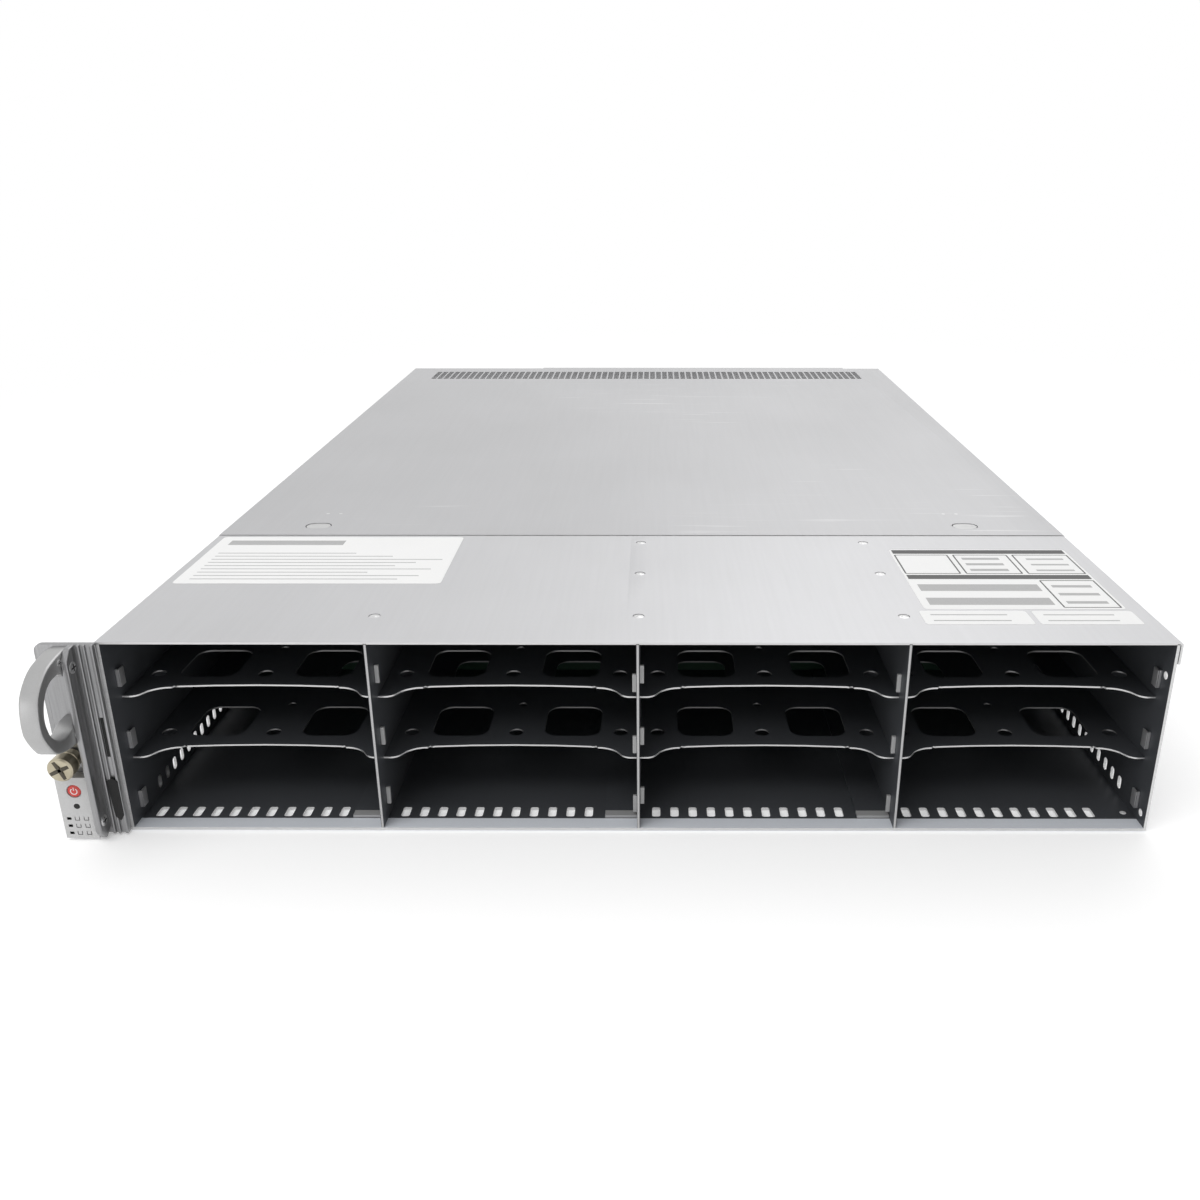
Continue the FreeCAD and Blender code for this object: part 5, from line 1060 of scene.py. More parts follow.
def psu_shade(at):
    rolled = at.stretched(3.0, 3.0, 60.0).noise(18.0, 5.0)
    grain = at.noise(1500.0, 2.0)
    return {
        "Base Color": (rolled * 0.6 + grain * 0.4).blend(grey(0.52), grey(0.72)),
        "Metallic": 0.75,
        "Roughness": 0.30 + grain * 0.16,
        "Normal": grain.bump(0.2, 0.05),
    }


psu_steel = finish("psu_steel", psu_shade)
brass = finish("yellow_passivated", mottled(
    (0.46, 0.40, 0.28, 1), (0.70, 0.64, 0.48, 1), 300.0, 3.0, 0.24, 0.16, {"Metallic": 0.9}))
lens = finish("smoked_lens", mottled(
    (0.004, 0.005, 0.005, 1), (0.012, 0.015, 0.014, 1), 800.0, 2.0, 0.30, 0.1, {"Coat Weight": 0.15}))
maroon = finish("maroon_plastic", mottled(
    (0.085, 0.017, 0.034, 1), (0.125, 0.028, 0.050, 1), 1100.0, 3.0, 0.40, 0.18, bump=(0.25, 0.04)))


def lined(bm, x, y, z, coat):
    """Gives the faces whose middle lies between three (low, high) pairs another finish."""
    for face in bm.faces:
        middle = face.calc_center_median()
        if all(low < place < high for place, (low, high) in zip(middle, (x, y, z))):
            face.material_index = coat


def box_loop(width, height, corner=0.0):
    x, y = width / 2, height / 2
    return [(-x, -y, corner), (x, -y, corner), (x, y, corner), (-x, y, corner)]


def well(outer, mouth, depth, body, lining=0):
    """A block with its face on Z = 0 and a mouth sunk into it, from the corners of both."""
    def verts_of(geometry):
        return [g for g in geometry if isinstance(g, bmesh.types.BMVert)]

    bm = coated(outline(mouth), lining)
    top = bmesh.ops.extrude_edge_only(bm, edges=bm.edges[:])["geom"]
    for face in top:
        if isinstance(face, bmesh.types.BMFace):
            face.material_index = 0
    bmesh.ops.translate(bm, vec=(0, 0, depth), verts=verts_of(top))
    bmesh.ops.translate(bm, vec=(0, 0, -depth), verts=bm.verts)
    rim = outline(outer)
    bmesh.ops.delete(rim, geom=rim.faces[:], context="FACES_ONLY")
    gather(bm, rim)
    fill(bm, [e for e in bm.edges if e.is_boundary or e.is_wire])
    skirt = bmesh.ops.extrude_edge_only(bm, edges=[e for e in bm.edges if e.is_boundary])["geom"]
    bmesh.ops.translate(bm, vec=(0, 0, -body), verts=verts_of(skirt))
    bmesh.ops.contextual_create(bm, geom=[e for e in bm.edges if e.is_boundary])
    bmesh.ops.recalc_face_normals(bm, faces=bm.faces)
    return bm


def bent_rod(place, radius, moves, sides=12):
    """A round wire from a place along +X: each move is a straight run, or a centre, axis, angle and steps."""
    bm = bmesh.new()
    start = Matrix.Translation(place) @ Matrix.Rotation(radians(90), 4, "Y")
    made = bmesh.ops.create_circle(bm, cap_ends=True, radius=radius, segments=sides, matrix=start)
    loop = [*made["verts"], *{e for p in made["verts"] for e in p.link_edges}]
    for move in moves:
        if len(move) == 3:
            made = bmesh.ops.spin(bm, geom=loop, cent=place, axis=(0, 0, 1), dvec=move, angle=0.0, steps=1)
        else:
            centre, axis, angle, steps = move
            made = bmesh.ops.spin(bm, geom=loop, cent=centre, axis=axis, angle=radians(angle), steps=steps)
        loop = [g for g in made["geom_last"] if not isinstance(g, bmesh.types.BMFace)]
    bmesh.ops.contextual_create(bm, geom=[g for g in loop if isinstance(g, bmesh.types.BMEdge)])
    bmesh.ops.recalc_face_normals(bm, faces=bm.faces)
    return bm


for number, left in enumerate(PSU_LEFT, 1):
    right = left + PSU_WIDTH
    fan_x, inlet_x = right - FAN_SIDE, right - INLET_SIDE
    fan_left = fan_x - FAN_SIDE
    case = bmesh.new()
    bar(case, (left, right), (PSU_FACE - PSU_DEPTH, PSU_FACE - 0.2), PSU_Z)
    bmesh.ops.delete(case, geom=[f for f in case.faces if f.normal.y > 0.5], context="FACES_ONLY")
    thicken(case, PSU_SHEET)
    # Painted shade: the box's inside faces take the dark sheet.
    lined(case, (left + 0.7, right - 0.7), (PSU_FACE - PSU_DEPTH + 0.5, REAR),
          (PSU_Z[0] + 0.7, PSU_Z[1] - 0.7), 1)
    fan_side = rounded((fan_left, right), PSU_Z, 0)
    bmesh.ops.delete(fan_side, geom=fan_side.faces[:], context="FACES_ONLY")
    bmesh.ops.create_circle(fan_side, radius=18.9, segments=40, matrix=Matrix.Translation((fan_x, FAN_Z, 0)))
    fill(fan_side, fan_side.edges[:])
    front = blank((left, fan_left), PSU_Z)
    gather(front, face_up(fan_side))
    window(front, (inlet_x - INLET_WIDE, inlet_x + INLET_WIDE), (INLET_Z - INLET_HIGH, INLET_Z + INLET_HIGH))
    window(front, (left + 7.2, left + 16.8), (2.7, 5.7))
    thicken(front, PSU_SHEET)
    stand(front, "y", PSU_FACE - PSU_SHEET)
    guard = turned([(0, 0.0), (9.2, -0.1), (10.0, -0.5), (10.0, -1.2), (0, -1.2)], 36)
    for i in range(8):
        spoke = bmesh.new()
        bar(spoke, (9.5, 19.4), (-1.25, 1.25), (-1.15, -0.05), 0.3)
        gather(guard, spun(spoke, 45 * i + 22.5))
    gather(case, front, aim(guard, (fan_x, PSU_FACE, FAN_Z), (0, 1, 0)))
    for lug_x in (fan_x - 17.8, fan_x + 19.8):
        lug = outline([(LUG_Y[0], LUG_Z[0], 0), (LUG_Y[1], LUG_Z[0], 2.4), (LUG_Y[1], LUG_Z[1], 2.4),
                       (LUG_Y[0], LUG_Z[1], 0)])
        hole(lug, BAIL_Y, FAN_Z, 1.25)
        thicken(lug, 2.0)
        gather(case, stand(lug, "x", lug_x))
    bar(case, (left + 0.5, left + 1.9), (PSU_FACE - 0.3, PSU_FACE + 0.7), (2.5, 41.5), 0.3)
    piece(f"psu_{number}_box", case, f"psu_{number}", [psu_steel, dark_sheet_and_painted_shade],
          [f"psu_{number}_case"])

    screws = bmesh.new()
    for v in (-FAN_SCREW, FAN_SCREW):
        for u in (-FAN_SCREW, FAN_SCREW):
            gather(screws, aim(screw(2.5, 0.9, 0.7), (fan_x + u, PSU_FACE - 0.05, FAN_Z + v), (0, 1, 0)))
    piece(f"psu_{number}_screws", screws, f"psu_{number}", [brass, gap_shadow])
    lamp_lens = turned([(0, 0.9), (1.4, 0.8), (1.9, 0.3), (2.4, 0.25), (2.5, 0.0), (0, 0.0)], 20)
    aim(lamp_lens, (left + 6.2, PSU_FACE, 36.5), (0, 1, 0))
    pit = turned([(0, 0.03), (1.7, 0.03), (1.8, 0.0), (0, 0.0)], 16)
    gather(lamp_lens, aim(pit, (inlet_x + 3.5, PSU_FACE, 6.0), (0, 1, 0)))
    piece(f"psu_{number}_lamp", lamp_lens, f"psu_{number}", [lens])

    mouth = [(-8, -6.5, 0), (-3.5, -11, 0), (8, -11, 0.6), (8, 11, 0.6), (-3.5, 11, 0), (-8, 6.5, 0)]
    socket = well(box_loop(21.8, 29.8, 0.8), mouth, INLET_DEPTH, 20.0)
    for u, v in BLADES:
        bar(socket, (u - 1.7, u + 1.7), (v - 0.6, v + 0.6), (-INLET_DEPTH - 0.1, -5.0), 0.3, coat=1)
    aim(socket, (inlet_x, PSU_FACE + 1.5, INLET_Z), (0, 1, 0))
    piece(f"psu_{number}_socket", socket, f"psu_{number}", [black, bright],
          [f"psu_{number}_inlet"])

    way = 1 if number == 1 else -1
    crown = FAN_Z + way * BAIL_LEG
    into_lug = (BAIL_END - BAIL_LEG - BAIL_TIGHT, 0, 0)
    rise = way * (BAIL_LEG - BAIL_TIGHT - BAIL_WIDE)
    foot_z, crown_z = FAN_Z + way * BAIL_TIGHT, crown - way * BAIL_WIDE
    foot_x, crown_x = BAIL_LEG + BAIL_TIGHT, BAIL_LEG - BAIL_WIDE
    rod = bent_rod((fan_x - BAIL_END, BAIL_Y, FAN_Z), 1.2, [
        into_lug,
        ((fan_x - foot_x, BAIL_Y, foot_z), (0, -way, 0), 90, 4),
        (0, 0, rise),
        ((fan_x - crown_x, BAIL_Y, crown_z), (0, way, 0), 90, 8),
        (2 * crown_x, 0, 0),
        ((fan_x + crown_x, BAIL_Y, crown_z), (0, way, 0), 90, 8),
        (0, 0, -rise),
        ((fan_x + foot_x, BAIL_Y, foot_z), (0, -way, 0), 90, 4),
        into_lug,
    ])
    piece(f"psu_{number}_pull", rod, f"psu_{number}_bail", [bright],
          [f"psu_{number}_bail"], 60)

    low = left + 4.0
    tab = outline([(low, PSU_FACE + 0.3, 0), (low + LEVER_WIDE, PSU_FACE + 0.3, 0),
                   (low + LEVER_WIDE, LEVER_TIP, 1.5), (low + 7.2, LEVER_TIP, 1.5),
                   (low, PSU_FACE + 6.6, 2.2)])
    thicken(tab, LEVER_THICK)
    eased(stand(tab, "z", LEVER_TOP), 0.8, 35, 3)
    bar(tab, (low + 3.5, low + 8.5), (PSU_FACE - 8.0, PSU_FACE + 0.8), (3.1, 5.3), 0.3)
    piece(f"psu_{number}_catch", tab, f"psu_{number}_lever", [maroon],
          [f"psu_{number}_lever"])
    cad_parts[f"psu_{number}_rotor"].data.materials[0] = black

# Rear corner vent and upper left riser: punched zinc-coated sheets with square holes, in the rear sheets'
# darker zinc as painted shade. The riser's slot plate stands back in the case, with a ledge, a side return
# and an ear that carries the black turn latch; the set-back plate and the ledge are painted darker still as
# shade.
PANEL = REAR - 12.5
RISER, REAR_TOP = 44.2, 86.5
RISER_X, LEDGE_X = (53.4, 157.7), (62.6, 157.7)
RISER_VENTS_X = (66.0, 154.0)
EAR_PLATE_X, EAR_PLATE_TOP, EAR_VENTS_Z = (156.5, 175.7), 80.7, (46.5, 59.5)
LATCH_LEFT = (166.7, 65.35)
CARD_WIDTH, CARD_HALF, CARD_SHEET = 93.0, 9.0, 0.9


def riser_shade(at):
    skin = rear_shade(at)
    across = (at.along("X") > (LEDGE_X[0] + 0.1) * MM) * (at.along("X") < (LEDGE_X[1] - 0.1) * MM)
    # Painted shade: the set-back plate and its ledge are made darker.
    recess = across * (at.along("Y") < (REAR - 1.5) * MM)
    skin["Base Color"] = recess.blend(skin["Base Color"], grey(0.12))
    return skin


def bronze_shade(at):
    cloud = at.noise(30.0, 5.0)
    grain = at.noise(1300.0, 2.0)
    return {
        "Base Color": (cloud * 0.6 + grain * 0.4).blend((0.020, 0.015, 0.012, 1), (0.050, 0.040, 0.032, 1)),
        "Metallic": 0.6,
        "Roughness": 0.38 + grain * 0.16,
    }


bronze = finish("card_bracket_bronze", bronze_shade)
black_sheet = finish("card_bracket_black", mottled(
    (0.006, 0.005, 0.005, 1), (0.018, 0.015, 0.014, 1), 30.0, 5.0, 0.36, 0.15, {"Metallic": 0.5}))

vent = blank((158.0, INNER), (RISER, REAR_TOP))
vents(vent, (176.5, 213.5), (49.5, 86.0), 6, 6, 1.0, 0.5)
vents(vent, (160.0, 173.0), (55.0, 86.0), 2, 5, 1.1, 0.5)
thicken(vent, SHEET)
stand(vent, "y", REAR - SHEET)
piece("corner_vent", vent, "chassis", [rear_painted_shade_zinc], ["rear_vent_panel"])

riser = blank(RISER_X, (RISER, REAR_TOP))
vents(riser, RISER_VENTS_X, (72.2, 86.0), 17, 2, 1.0)
vents(riser, RISER_VENTS_X, (66.6, 71.0), 17, 1, 1.0)
vents(riser, (66.0, 150.0), (46.0, 49.9), 16, 1, 1.0)
window(riser, (66.65, 153.65), (51.16, 65.16), 0.8)
thicken(riser, SHEET)
stand(riser, "y", PANEL - SHEET)
bar(riser, LEDGE_X, (PANEL - 0.2, REAR), (RISER, RISER + SHEET), 0.5, 3)
flank = outline([(PANEL - 0.3, RISER, 0), (REAR + 0.3, RISER, 0), (REAR + 0.3, 62.0, 0),
                 (REAR - 2.0, 68.0, 3.0), (REAR - 5.0, 79.0, 4.0), (REAR - 5.0, REAR_TOP, 0),
                 (PANEL - 0.3, REAR_TOP, 0)])
thicken(flank, SHEET)
gather(riser, eased(stand(flank, "x", RISER_X[1]), 0.3))
ear_plate = outline([(EAR_PLATE_X[0], RISER, 1.0), (EAR_PLATE_X[1], RISER, 1.0),
                     (EAR_PLATE_X[1], EAR_PLATE_TOP, 2.0), (EAR_PLATE_X[0], EAR_PLATE_TOP, 2.0)])
vents(ear_plate, (158.0, 165.6), EAR_VENTS_Z, 2, 3, 1.3, 0.4)
vents(ear_plate, (167.2, 174.8), EAR_VENTS_Z, 2, 3, 1.3, 0.4)
window(ear_plate, (169.0, 172.4), (73.6, 77.4))
thicken(ear_plate, SHEET)
gather(riser, stand(ear_plate, "y", REAR + 0.3))
pin = turned([(0, 0.0), (1.7, -0.1), (2.0, -0.4), (2.0, -6.5)], 20)
gather(riser, aim(pin, (LATCH_LEFT[0], REAR + 6.9, LATCH_LEFT[1]), (0, 1, 0)))
piece("riser_frame_left", riser, "chassis", [finish("riser_sheet", riser_shade)],
      ["riser_bracket_left"])


def card_face(name, x, z, vent_x, columns, rows, row, screw_x, tone, node):
    """A card's bracket behind a slot window, with a patch of rounded holes and two screws."""
    sheet = rounded((x - CARD_WIDTH / 2, x + CARD_WIDTH / 2), (z - CARD_HALF, z + CARD_HALF), 1.0)
    vents(sheet, vent_x, (z - rows * row / 2, z + rows * row / 2), columns, rows, 0.7, 0.7)
    thicken(sheet, CARD_SHEET)
    stand(sheet, "y", PANEL - SHEET - CARD_SHEET)
    for u in screw_x:
        gather(sheet, aim(screw(2.2, 0.8), (u, PANEL - SHEET, z + 1.0), (0, 1, 0)))
    return piece(name, sheet, "chassis", [tone, gap_shadow], [node])


card_face("card_face_left", 110.15, 58.16, (77.0, 118.5), 11, 3, 4.3, (74.0, 121.5), bronze,
          "card_bracket_left")

# Turn latches of the risers: black moulded bars with rounded corners, a print of a white arrow and a
# pin head of bright steel at one end.
LATCH_MIDDLE = (-3.0, 34.8)
LATCH_HALF, LATCH_WIDE, LATCH_TALL = 9.0, 5.0, 7.0
LATCH_LEAN = -35
for side, (x, z), y in (("left", LATCH_LEFT, REAR + 1.8), ("middle", LATCH_MIDDLE, PANEL + 5.0)):
    latch = rounded((-LATCH_HALF, LATCH_HALF), (-LATCH_WIDE, LATCH_WIDE), 0.8)
    thicken(latch, LATCH_TALL)
    eased(stand(latch, "z", LATCH_TALL), 0.5, 50)
    bar(latch, (-8.4, 8.4), (3.2, 4.6), (5.6, LATCH_TALL), 0.3)
    arrow = outline([(-6.6, -1.6, 0), (-3.0, 1.4, 0), (-3.0, -0.2, 0), (3.0, -0.2, 0), (3.0, -3.0, 0),
                     (-3.0, -3.0, 0), (-3.0, -4.6, 0)])
    thicken(arrow, 0.4)
    gather(latch, stand(coated(arrow, 1), "z", LATCH_TALL + 0.03))
    head = turned([(0, 7.03), (1.0, 7.03), (1.3, 6.8), (1.3, 6.0), (0, 6.0)], 16)
    bmesh.ops.translate(coated(head, 2), vec=(4.6, 3.3, 0), verts=head.verts)
    gather(latch, head)
    aim(spun(latch, LATCH_LEAN), (x, y, z), (0, 1, 0))
    piece(f"turn_latch_{side}", latch, f"riser_latch_{side}", [black, white_print, bright],
          [f"riser_latch_{side}"])

# Middle riser: an open bay of bent sheet, dark inside, with punched back wall, riveted floor, and walls whose
# bright edges run in an S at the left and as a rolled hem at the right.
BAY_FLOOR, BAY_BACK, BAY_REAR = 45.4, REAR - 12.0, REAR - 1.0
BAY_X, BAY_VENTS_X = (-50.0, 52.0), (-46.0, 46.5)
ARM_FRONT, ARM_TOP = PANEL + 3.5, BAY_FLOOR + 0.4
STUDS = ((20, 318), (10, 315), (-40, 316))


def bay_shade(at):
    cloud = at.noise(14.0, 5.0)
    grain = at.noise(1100.0, 2.0)
    edge = at.along("Y") > (BAY_REAR - 0.6) * MM
    return {
        "Base Color": edge.blend((cloud * 0.6 + grain * 0.4).blend(grey(0.10), grey(0.17)), grey(0.62)),
        "Metallic": 0.7,
        "Roughness": 0.34 + grain * 0.16,
        "Normal": grain.bump(0.2, 0.05),
    }


bay = blank(BAY_X, (BAY_FLOOR, REAR_TOP))
vents(bay, BAY_VENTS_X, (63.8, 68.6), 16, 1, 1.0, 0.3)
vents(bay, BAY_VENTS_X, (53.0, 63.0), 16, 2, 0.8, 0.3)
vents(bay, (-46.0, 21.0), (48.0, 51.4), 12, 1, 1.0)
thicken(bay, SHEET)
stand(bay, "y", BAY_BACK - SHEET)
bar(bay, BAY_X, (BAY_BACK - 0.2, BAY_REAR), (BAY_FLOOR, BAY_FLOOR + SHEET), 0.3)
curve = [(BAY_BACK, BAY_FLOOR, 0), (BAY_REAR, BAY_FLOOR, 0), (BAY_REAR, 60.0, 1.0),
         (BAY_REAR - 1.2, 66.5, 2.5), (BAY_REAR - 3.4, 71.0, 3.0), (BAY_REAR - 3.4, REAR_TOP, 0),
         (BAY_BACK, REAR_TOP, 0)]
square = [curve[0], curve[1], (BAY_REAR, REAR_TOP, 2.0), curve[-1]]
for edge_x, corners in ((BAY_X[1], curve), (BAY_X[0] + SHEET, square)):
    wall = outline(corners)
    thicken(wall, SHEET)
    gather(bay, eased(stand(wall, "x", edge_x), 0.3))
bar(bay, (-50.0, -45.8), (BAY_REAR - 1.4, BAY_REAR), (BAY_FLOOR + 1.2, REAR_TOP), 0.5, 3)
bar(bay, (-14.0, 8.0), (ARM_FRONT, ARM_FRONT + SHEET), (29.8, ARM_TOP), 0.4)
bar(bay, (-15.5, -13.2), (ARM_FRONT, BAY_REAR - 0.3), (27.5, ARM_TOP), 0.6, 3)
bar(bay, (-50.0, 27.0), (BAY_REAR - 1.3, BAY_REAR), (BAY_FLOOR - 0.6, BAY_FLOOR + 1.8), 0.5, 3)
pin = turned([(0, 0.0), (1.7, -0.1), (2.0, -0.4), (2.0, -6.0)], 20)
gather(bay, aim(pin, (LATCH_MIDDLE[0], PANEL + 10.2, LATCH_MIDDLE[1]), (0, 1, 0)))
piece("riser_bay_middle", bay, "chassis", [finish("bay_sheet", bay_shade)],
      ["riser_bracket_middle"])
studs = bmesh.new()
for x, y in STUDS:
    gather(studs, aim(turned([(0, 0.5), (0.8, 0.42), (1.2, 0.0)], 12), (x, y, BAY_FLOOR + SHEET), (0, 0, 1)))
piece("riser_bay_studs", studs, "chassis", [bright])

# Slot frame, blanks and card bracket at the right: a plate with four slot windows and strips of air holes,
# a beam under the lid, plain steel blanks behind three windows and a black card bracket behind the top one.
# The plate is in the rear sheets' darker zinc with its sides dark, both painted shade; the blanks are a
# little darker than the zinc, and the top one is painted much darker as shade.
SLOT_PITCH, SLOT_HALF = 20.32, 7.0
SLOTS_Z = [SHEET + 0.2 + (i + 0.5) * SLOT_PITCH for i in range(4)]
UNSHADED_X = (-200.3, -97.5)
BLANK_X, BLANK_HALF, BLANK_SHEET = (-200.8, -103.0), 8.0, 0.9


def blank_shade(at):
    skin = zinc_shade(at)
    # Painted shade: the top blank is made much darker.
    upper = at.along("Z") > (SLOTS_Z[2] - 10.0) * MM
    skin["Base Color"] = (0.12 + upper * 0.55).blend(skin["Base Color"], grey(0.07))
    return skin


slots = blank((-INNER, -81.3), (SHEET, REAR_TOP))
for z in SLOTS_Z:
    window(slots, (-199.5, -104.5), (z - SLOT_HALF, z + SLOT_HALF), 0.8)
for z in SLOTS_Z[:-1]:
    vents(slots, (-197.0, -105.5), (z + 7.9, z + 12.4), 15, 1, 1.1, 0.3)
shear(slots, slots.faces[:], 0, UNSHADED_X)
thicken(slots, SHEET)
# Painted shade: the plate's faces at both sides take the dark sheet.
for face in slots.faces:
    if not UNSHADED_X[0] < face.calc_center_median().x < UNSHADED_X[1]:
        face.material_index = 1
stand(slots, "y", PANEL - SHEET)
for x in (-136.0, -164.0):
    dome = turned([(0, 1.4), (2.0, 1.2), (3.0, 0.4), (3.0, -0.2)], 20)
    gather(slots, aim(dome, (x, REAR - 5.5, SHEET), (0, 0, 1)))
bar(slots, (-200.4, -97.2), (REAR - 2.4, REAR - 0.6), (82.6, 85.4), 0.5, 3)
piece("slot_plate", slots, "chassis", [rear_painted_shade_zinc, dark_sheet_and_painted_shade], ["slot_frame"])
covers = bmesh.new()
for i, z in enumerate(SLOTS_Z[:-1]):
    clip = 4.0 if i == 0 else 1.0
    low, high = z - BLANK_HALF, z + BLANK_HALF
    sheet = outline([(BLANK_X[0], low, clip), (BLANK_X[1], low, clip), (BLANK_X[1], high, 1.0),
                     (BLANK_X[0], high, 1.0)], 1)
    thicken(sheet, BLANK_SHEET)
    gather(covers, stand(sheet, "y", PANEL - SHEET - BLANK_SHEET))
piece("slot_covers", covers, "chassis", [finish("blank_sheet", blank_shade)], ["slot_blanks"])
card_face("card_face_right", -152.0, SLOTS_Z[-1], (-158.0, -113.0), 11, 2, 4.7, (-109.5, -161.5), black_sheet,
          "card_bracket_right")

# Rear posts: folded channels of zinc-coated sheet, in the rear sheets' darker zinc as painted shade, punched
# with columns of square holes, a threaded hole at the foot of each, and a round hole and long slot in the
# corner one.
POST_X, POST_VENTS_Z, POST_ROWS = (-97.0, -81.0), (11.4, 83.4), 12
FOOT_Z, FOOT_RADIUS = 7.76, 1.6
CORNER_X, CORNER_HOLE_X = (-INNER, -200.5), -208.25
ROUND_Z, ROUND_RADIUS = 35.3, 3.0
COLUMN_IN, COLUMN_OUT = (-207.0, -201.8), (-215.8, -210.2)
CORNER_LOW = (13.0, 29.0)

post = blank(POST_X, (SHEET, REAR_TOP))
hole(post, -89.0, FOOT_Z, FOOT_RADIUS)
vents(post, (-95.8, -87.2), POST_VENTS_Z, 1, POST_ROWS, 1.0, 0.8)
vents(post, (-86.9, -82.0), POST_VENTS_Z, 1, POST_ROWS, 1.0, 0.7)
thicken(post, SHEET)
stand(post, "y", REAR - SHEET)
for x in (POST_X[0] + SHEET, POST_X[1]):
    cheek = blank((PANEL, REAR - SHEET), (SHEET, REAR_TOP))
    vents(cheek, (PANEL + 1.6, REAR - 1.8), POST_VENTS_Z, 2, POST_ROWS, 1.0, 0.5)
    thicken(cheek, SHEET)
    gather(post, stand(cheek, "x", x))
piece("post_channel", post, "chassis", [rear_painted_shade_zinc], ["rear_post"])

corner = blank(CORNER_X, (SHEET, REAR_TOP))
hole(corner, CORNER_HOLE_X, ROUND_Z, ROUND_RADIUS)
hole(corner, CORNER_HOLE_X, FOOT_Z, FOOT_RADIUS)
vents(corner, COLUMN_IN, (44.6, 86.0), 1, 8, 1.1, 0.5)
vents(corner, COLUMN_IN, CORNER_LOW, 1, 3, 1.1, 0.5)
vents(corner, COLUMN_OUT, (69.5, 86.0), 1, 3, 1.1, 0.5)
window(corner, (-214.4, -211.4), (52.7, 67.0), 1.2)
vents(corner, COLUMN_OUT, (44.6, 50.2), 1, 1, 1.1, 0.5)
vents(corner, COLUMN_OUT, CORNER_LOW, 1, 3, 1.1, 0.5)
thicken(corner, SHEET)
stand(corner, "y", REAR - SHEET)
bar(corner, (CORNER_X[1] - SHEET, CORNER_X[1]), (PANEL, REAR - 0.2), (SHEET, REAR_TOP), 0.2)
for z, radius in ((ROUND_Z, ROUND_RADIUS), (FOOT_Z, FOOT_RADIUS)):
    lip = turned([(radius, -1.3), (radius, 0.0), (radius + 0.2, 0.25), (radius + 0.7, 0.25),
                  (radius + 1.0, 0.0), (radius, -1.3)], 24)
    gather(corner, aim(lip, (CORNER_HOLE_X, REAR - 0.26, z), (0, 1, 0)))
piece("corner_channel", corner, "chassis", [rear_painted_shade_zinc], ["corner_post"])

# Connector panel: a zinc-coated sheet in the rear sheets' darker zinc as painted shade, set back under the
# middle bay, with square vents above the sockets, a tower beside the bay, plain coloured fields around the
# sockets, and paper stickers with plain lines on the ledge in front.
PANEL_TOP, TOWER_X = 45.1, (-80.7, -50.3)
LAN_X, LAN_Z = (30.3, 56.7), (7.5, 25.1)
BUS_X, BUS_Z = (9.9, 25.1), (7.5, 28.9)
MANAGEMENT_X, MANAGEMENT_Z = (-8.6, 8.0), (7.5, 21.5)
SERIAL_X, DISPLAY_X = -27.0, -64.5
ADAPTER_X, ADAPTER_Z = (-80.0, -21.0), (30.0, 44.0)
PANEL_BACK = PANEL - 0.1
TOWER_SCREW = (-60.4, PANEL, 58.6)
GREEN, TEAL, BLUE = (0.150, 0.400, 0.022), (0.006, 0.060, 0.066), (0.018, 0.020, 0.190)
FIELDS = (
    ("green", GREEN, ((57.4, 7.0), (62.2, 7.0), (62.2, 25.0), (57.4, 25.0)), None, None),
    ("green_port", GREEN, ((-9.3, 5.0), (9.7, 5.0), (9.7, 28.2), (2.0, 28.2), (-9.3, 24.4)),
     MANAGEMENT_X, MANAGEMENT_Z),
    ("teal", TEAL, ((-45.5, 2.4), (-9.4, 2.4), (-9.4, 26.6), (-40.2, 26.6), (-40.2, 21.3), (-45.5, 21.3)),
     (SERIAL_X - 9.2, SERIAL_X + 9.2), (12.4, 21.6)),
    ("blue", BLUE, ((-80.2, 2.4), (-45.5, 2.4), (-45.5, 21.3), (-51.8, 21.3), (-51.8, 26.6), (-80.2, 26.6)),
     (DISPLAY_X - 9.2, DISPLAY_X + 9.2), (12.4, 21.6)),
)
LEDGE_STICKERS = ((30.0, 54.0), (-18.0, 6.0), (-66.0, -42.0))


def tint(*colour):
    low, high = [(*[part * level for part in colour], 1) for level in (0.9, 1.12)]
    return mottled(low, high, 900.0, 3.0, 0.36, 0.2)


panel = blank((TOWER_X[0], 62.3), (SHEET, PANEL_TOP))
window(panel, LAN_X, LAN_Z)
window(panel, BUS_X, BUS_Z)
window(panel, MANAGEMENT_X, MANAGEMENT_Z)
for x in (SERIAL_X, DISPLAY_X):
    window(panel, (x - 8.6, x + 8.6), (12.7, 21.3))
window(panel, ADAPTER_X, ADAPTER_Z)
vents(panel, (31.5, 58.0), (27.2, 37.4), 5, 2, 0.8, 0.4)
vents(panel, (-13.0, 26.0), (29.6, 44.3), 7, 3, 0.8, 0.4)
vents(panel, (-51.4, -40.6), (21.7, 26.9), 2, 1, 0.9, 0.4)
thicken(panel, SHEET)
stand(panel, "y", PANEL - SHEET)
tower = blank(TOWER_X, (PANEL_TOP, REAR_TOP))
vents(tower, (-64.6, -53.0), (52.0, 84.2), 2, 6, 0.9, 0.4)
vents(tower, (-76.0, -53.0), (47.6, 51.4), 4, 1, 0.9, 0.4)
thicken(tower, SHEET)
gather(panel, stand(tower, "y", PANEL - SHEET))
bar(panel, (-78.0, -66.4), (PANEL_BACK, PANEL + 1.4), (53.4, 86.4), 0.5, 3)
bar(panel, (-80.4, -50.2), (PANEL_BACK, REAR - 1.6), (45.3, 46.4), 0.3)
bar(panel, (57.6, 62.3), (PANEL_BACK, PANEL + 1.0), (25.6, 45.0), 0.3)
bar(panel, (26.8, 29.4), (PANEL_BACK, PANEL + 2.6), (SHEET, 44.8), 0.5, 3)
tower_screw = screw(2.9, 1.8, 0.7)
for face in tower_screw.faces:
    face.material_index += 1
gather(panel, aim(tower_screw, TOWER_SCREW, (0, 1, 0)))
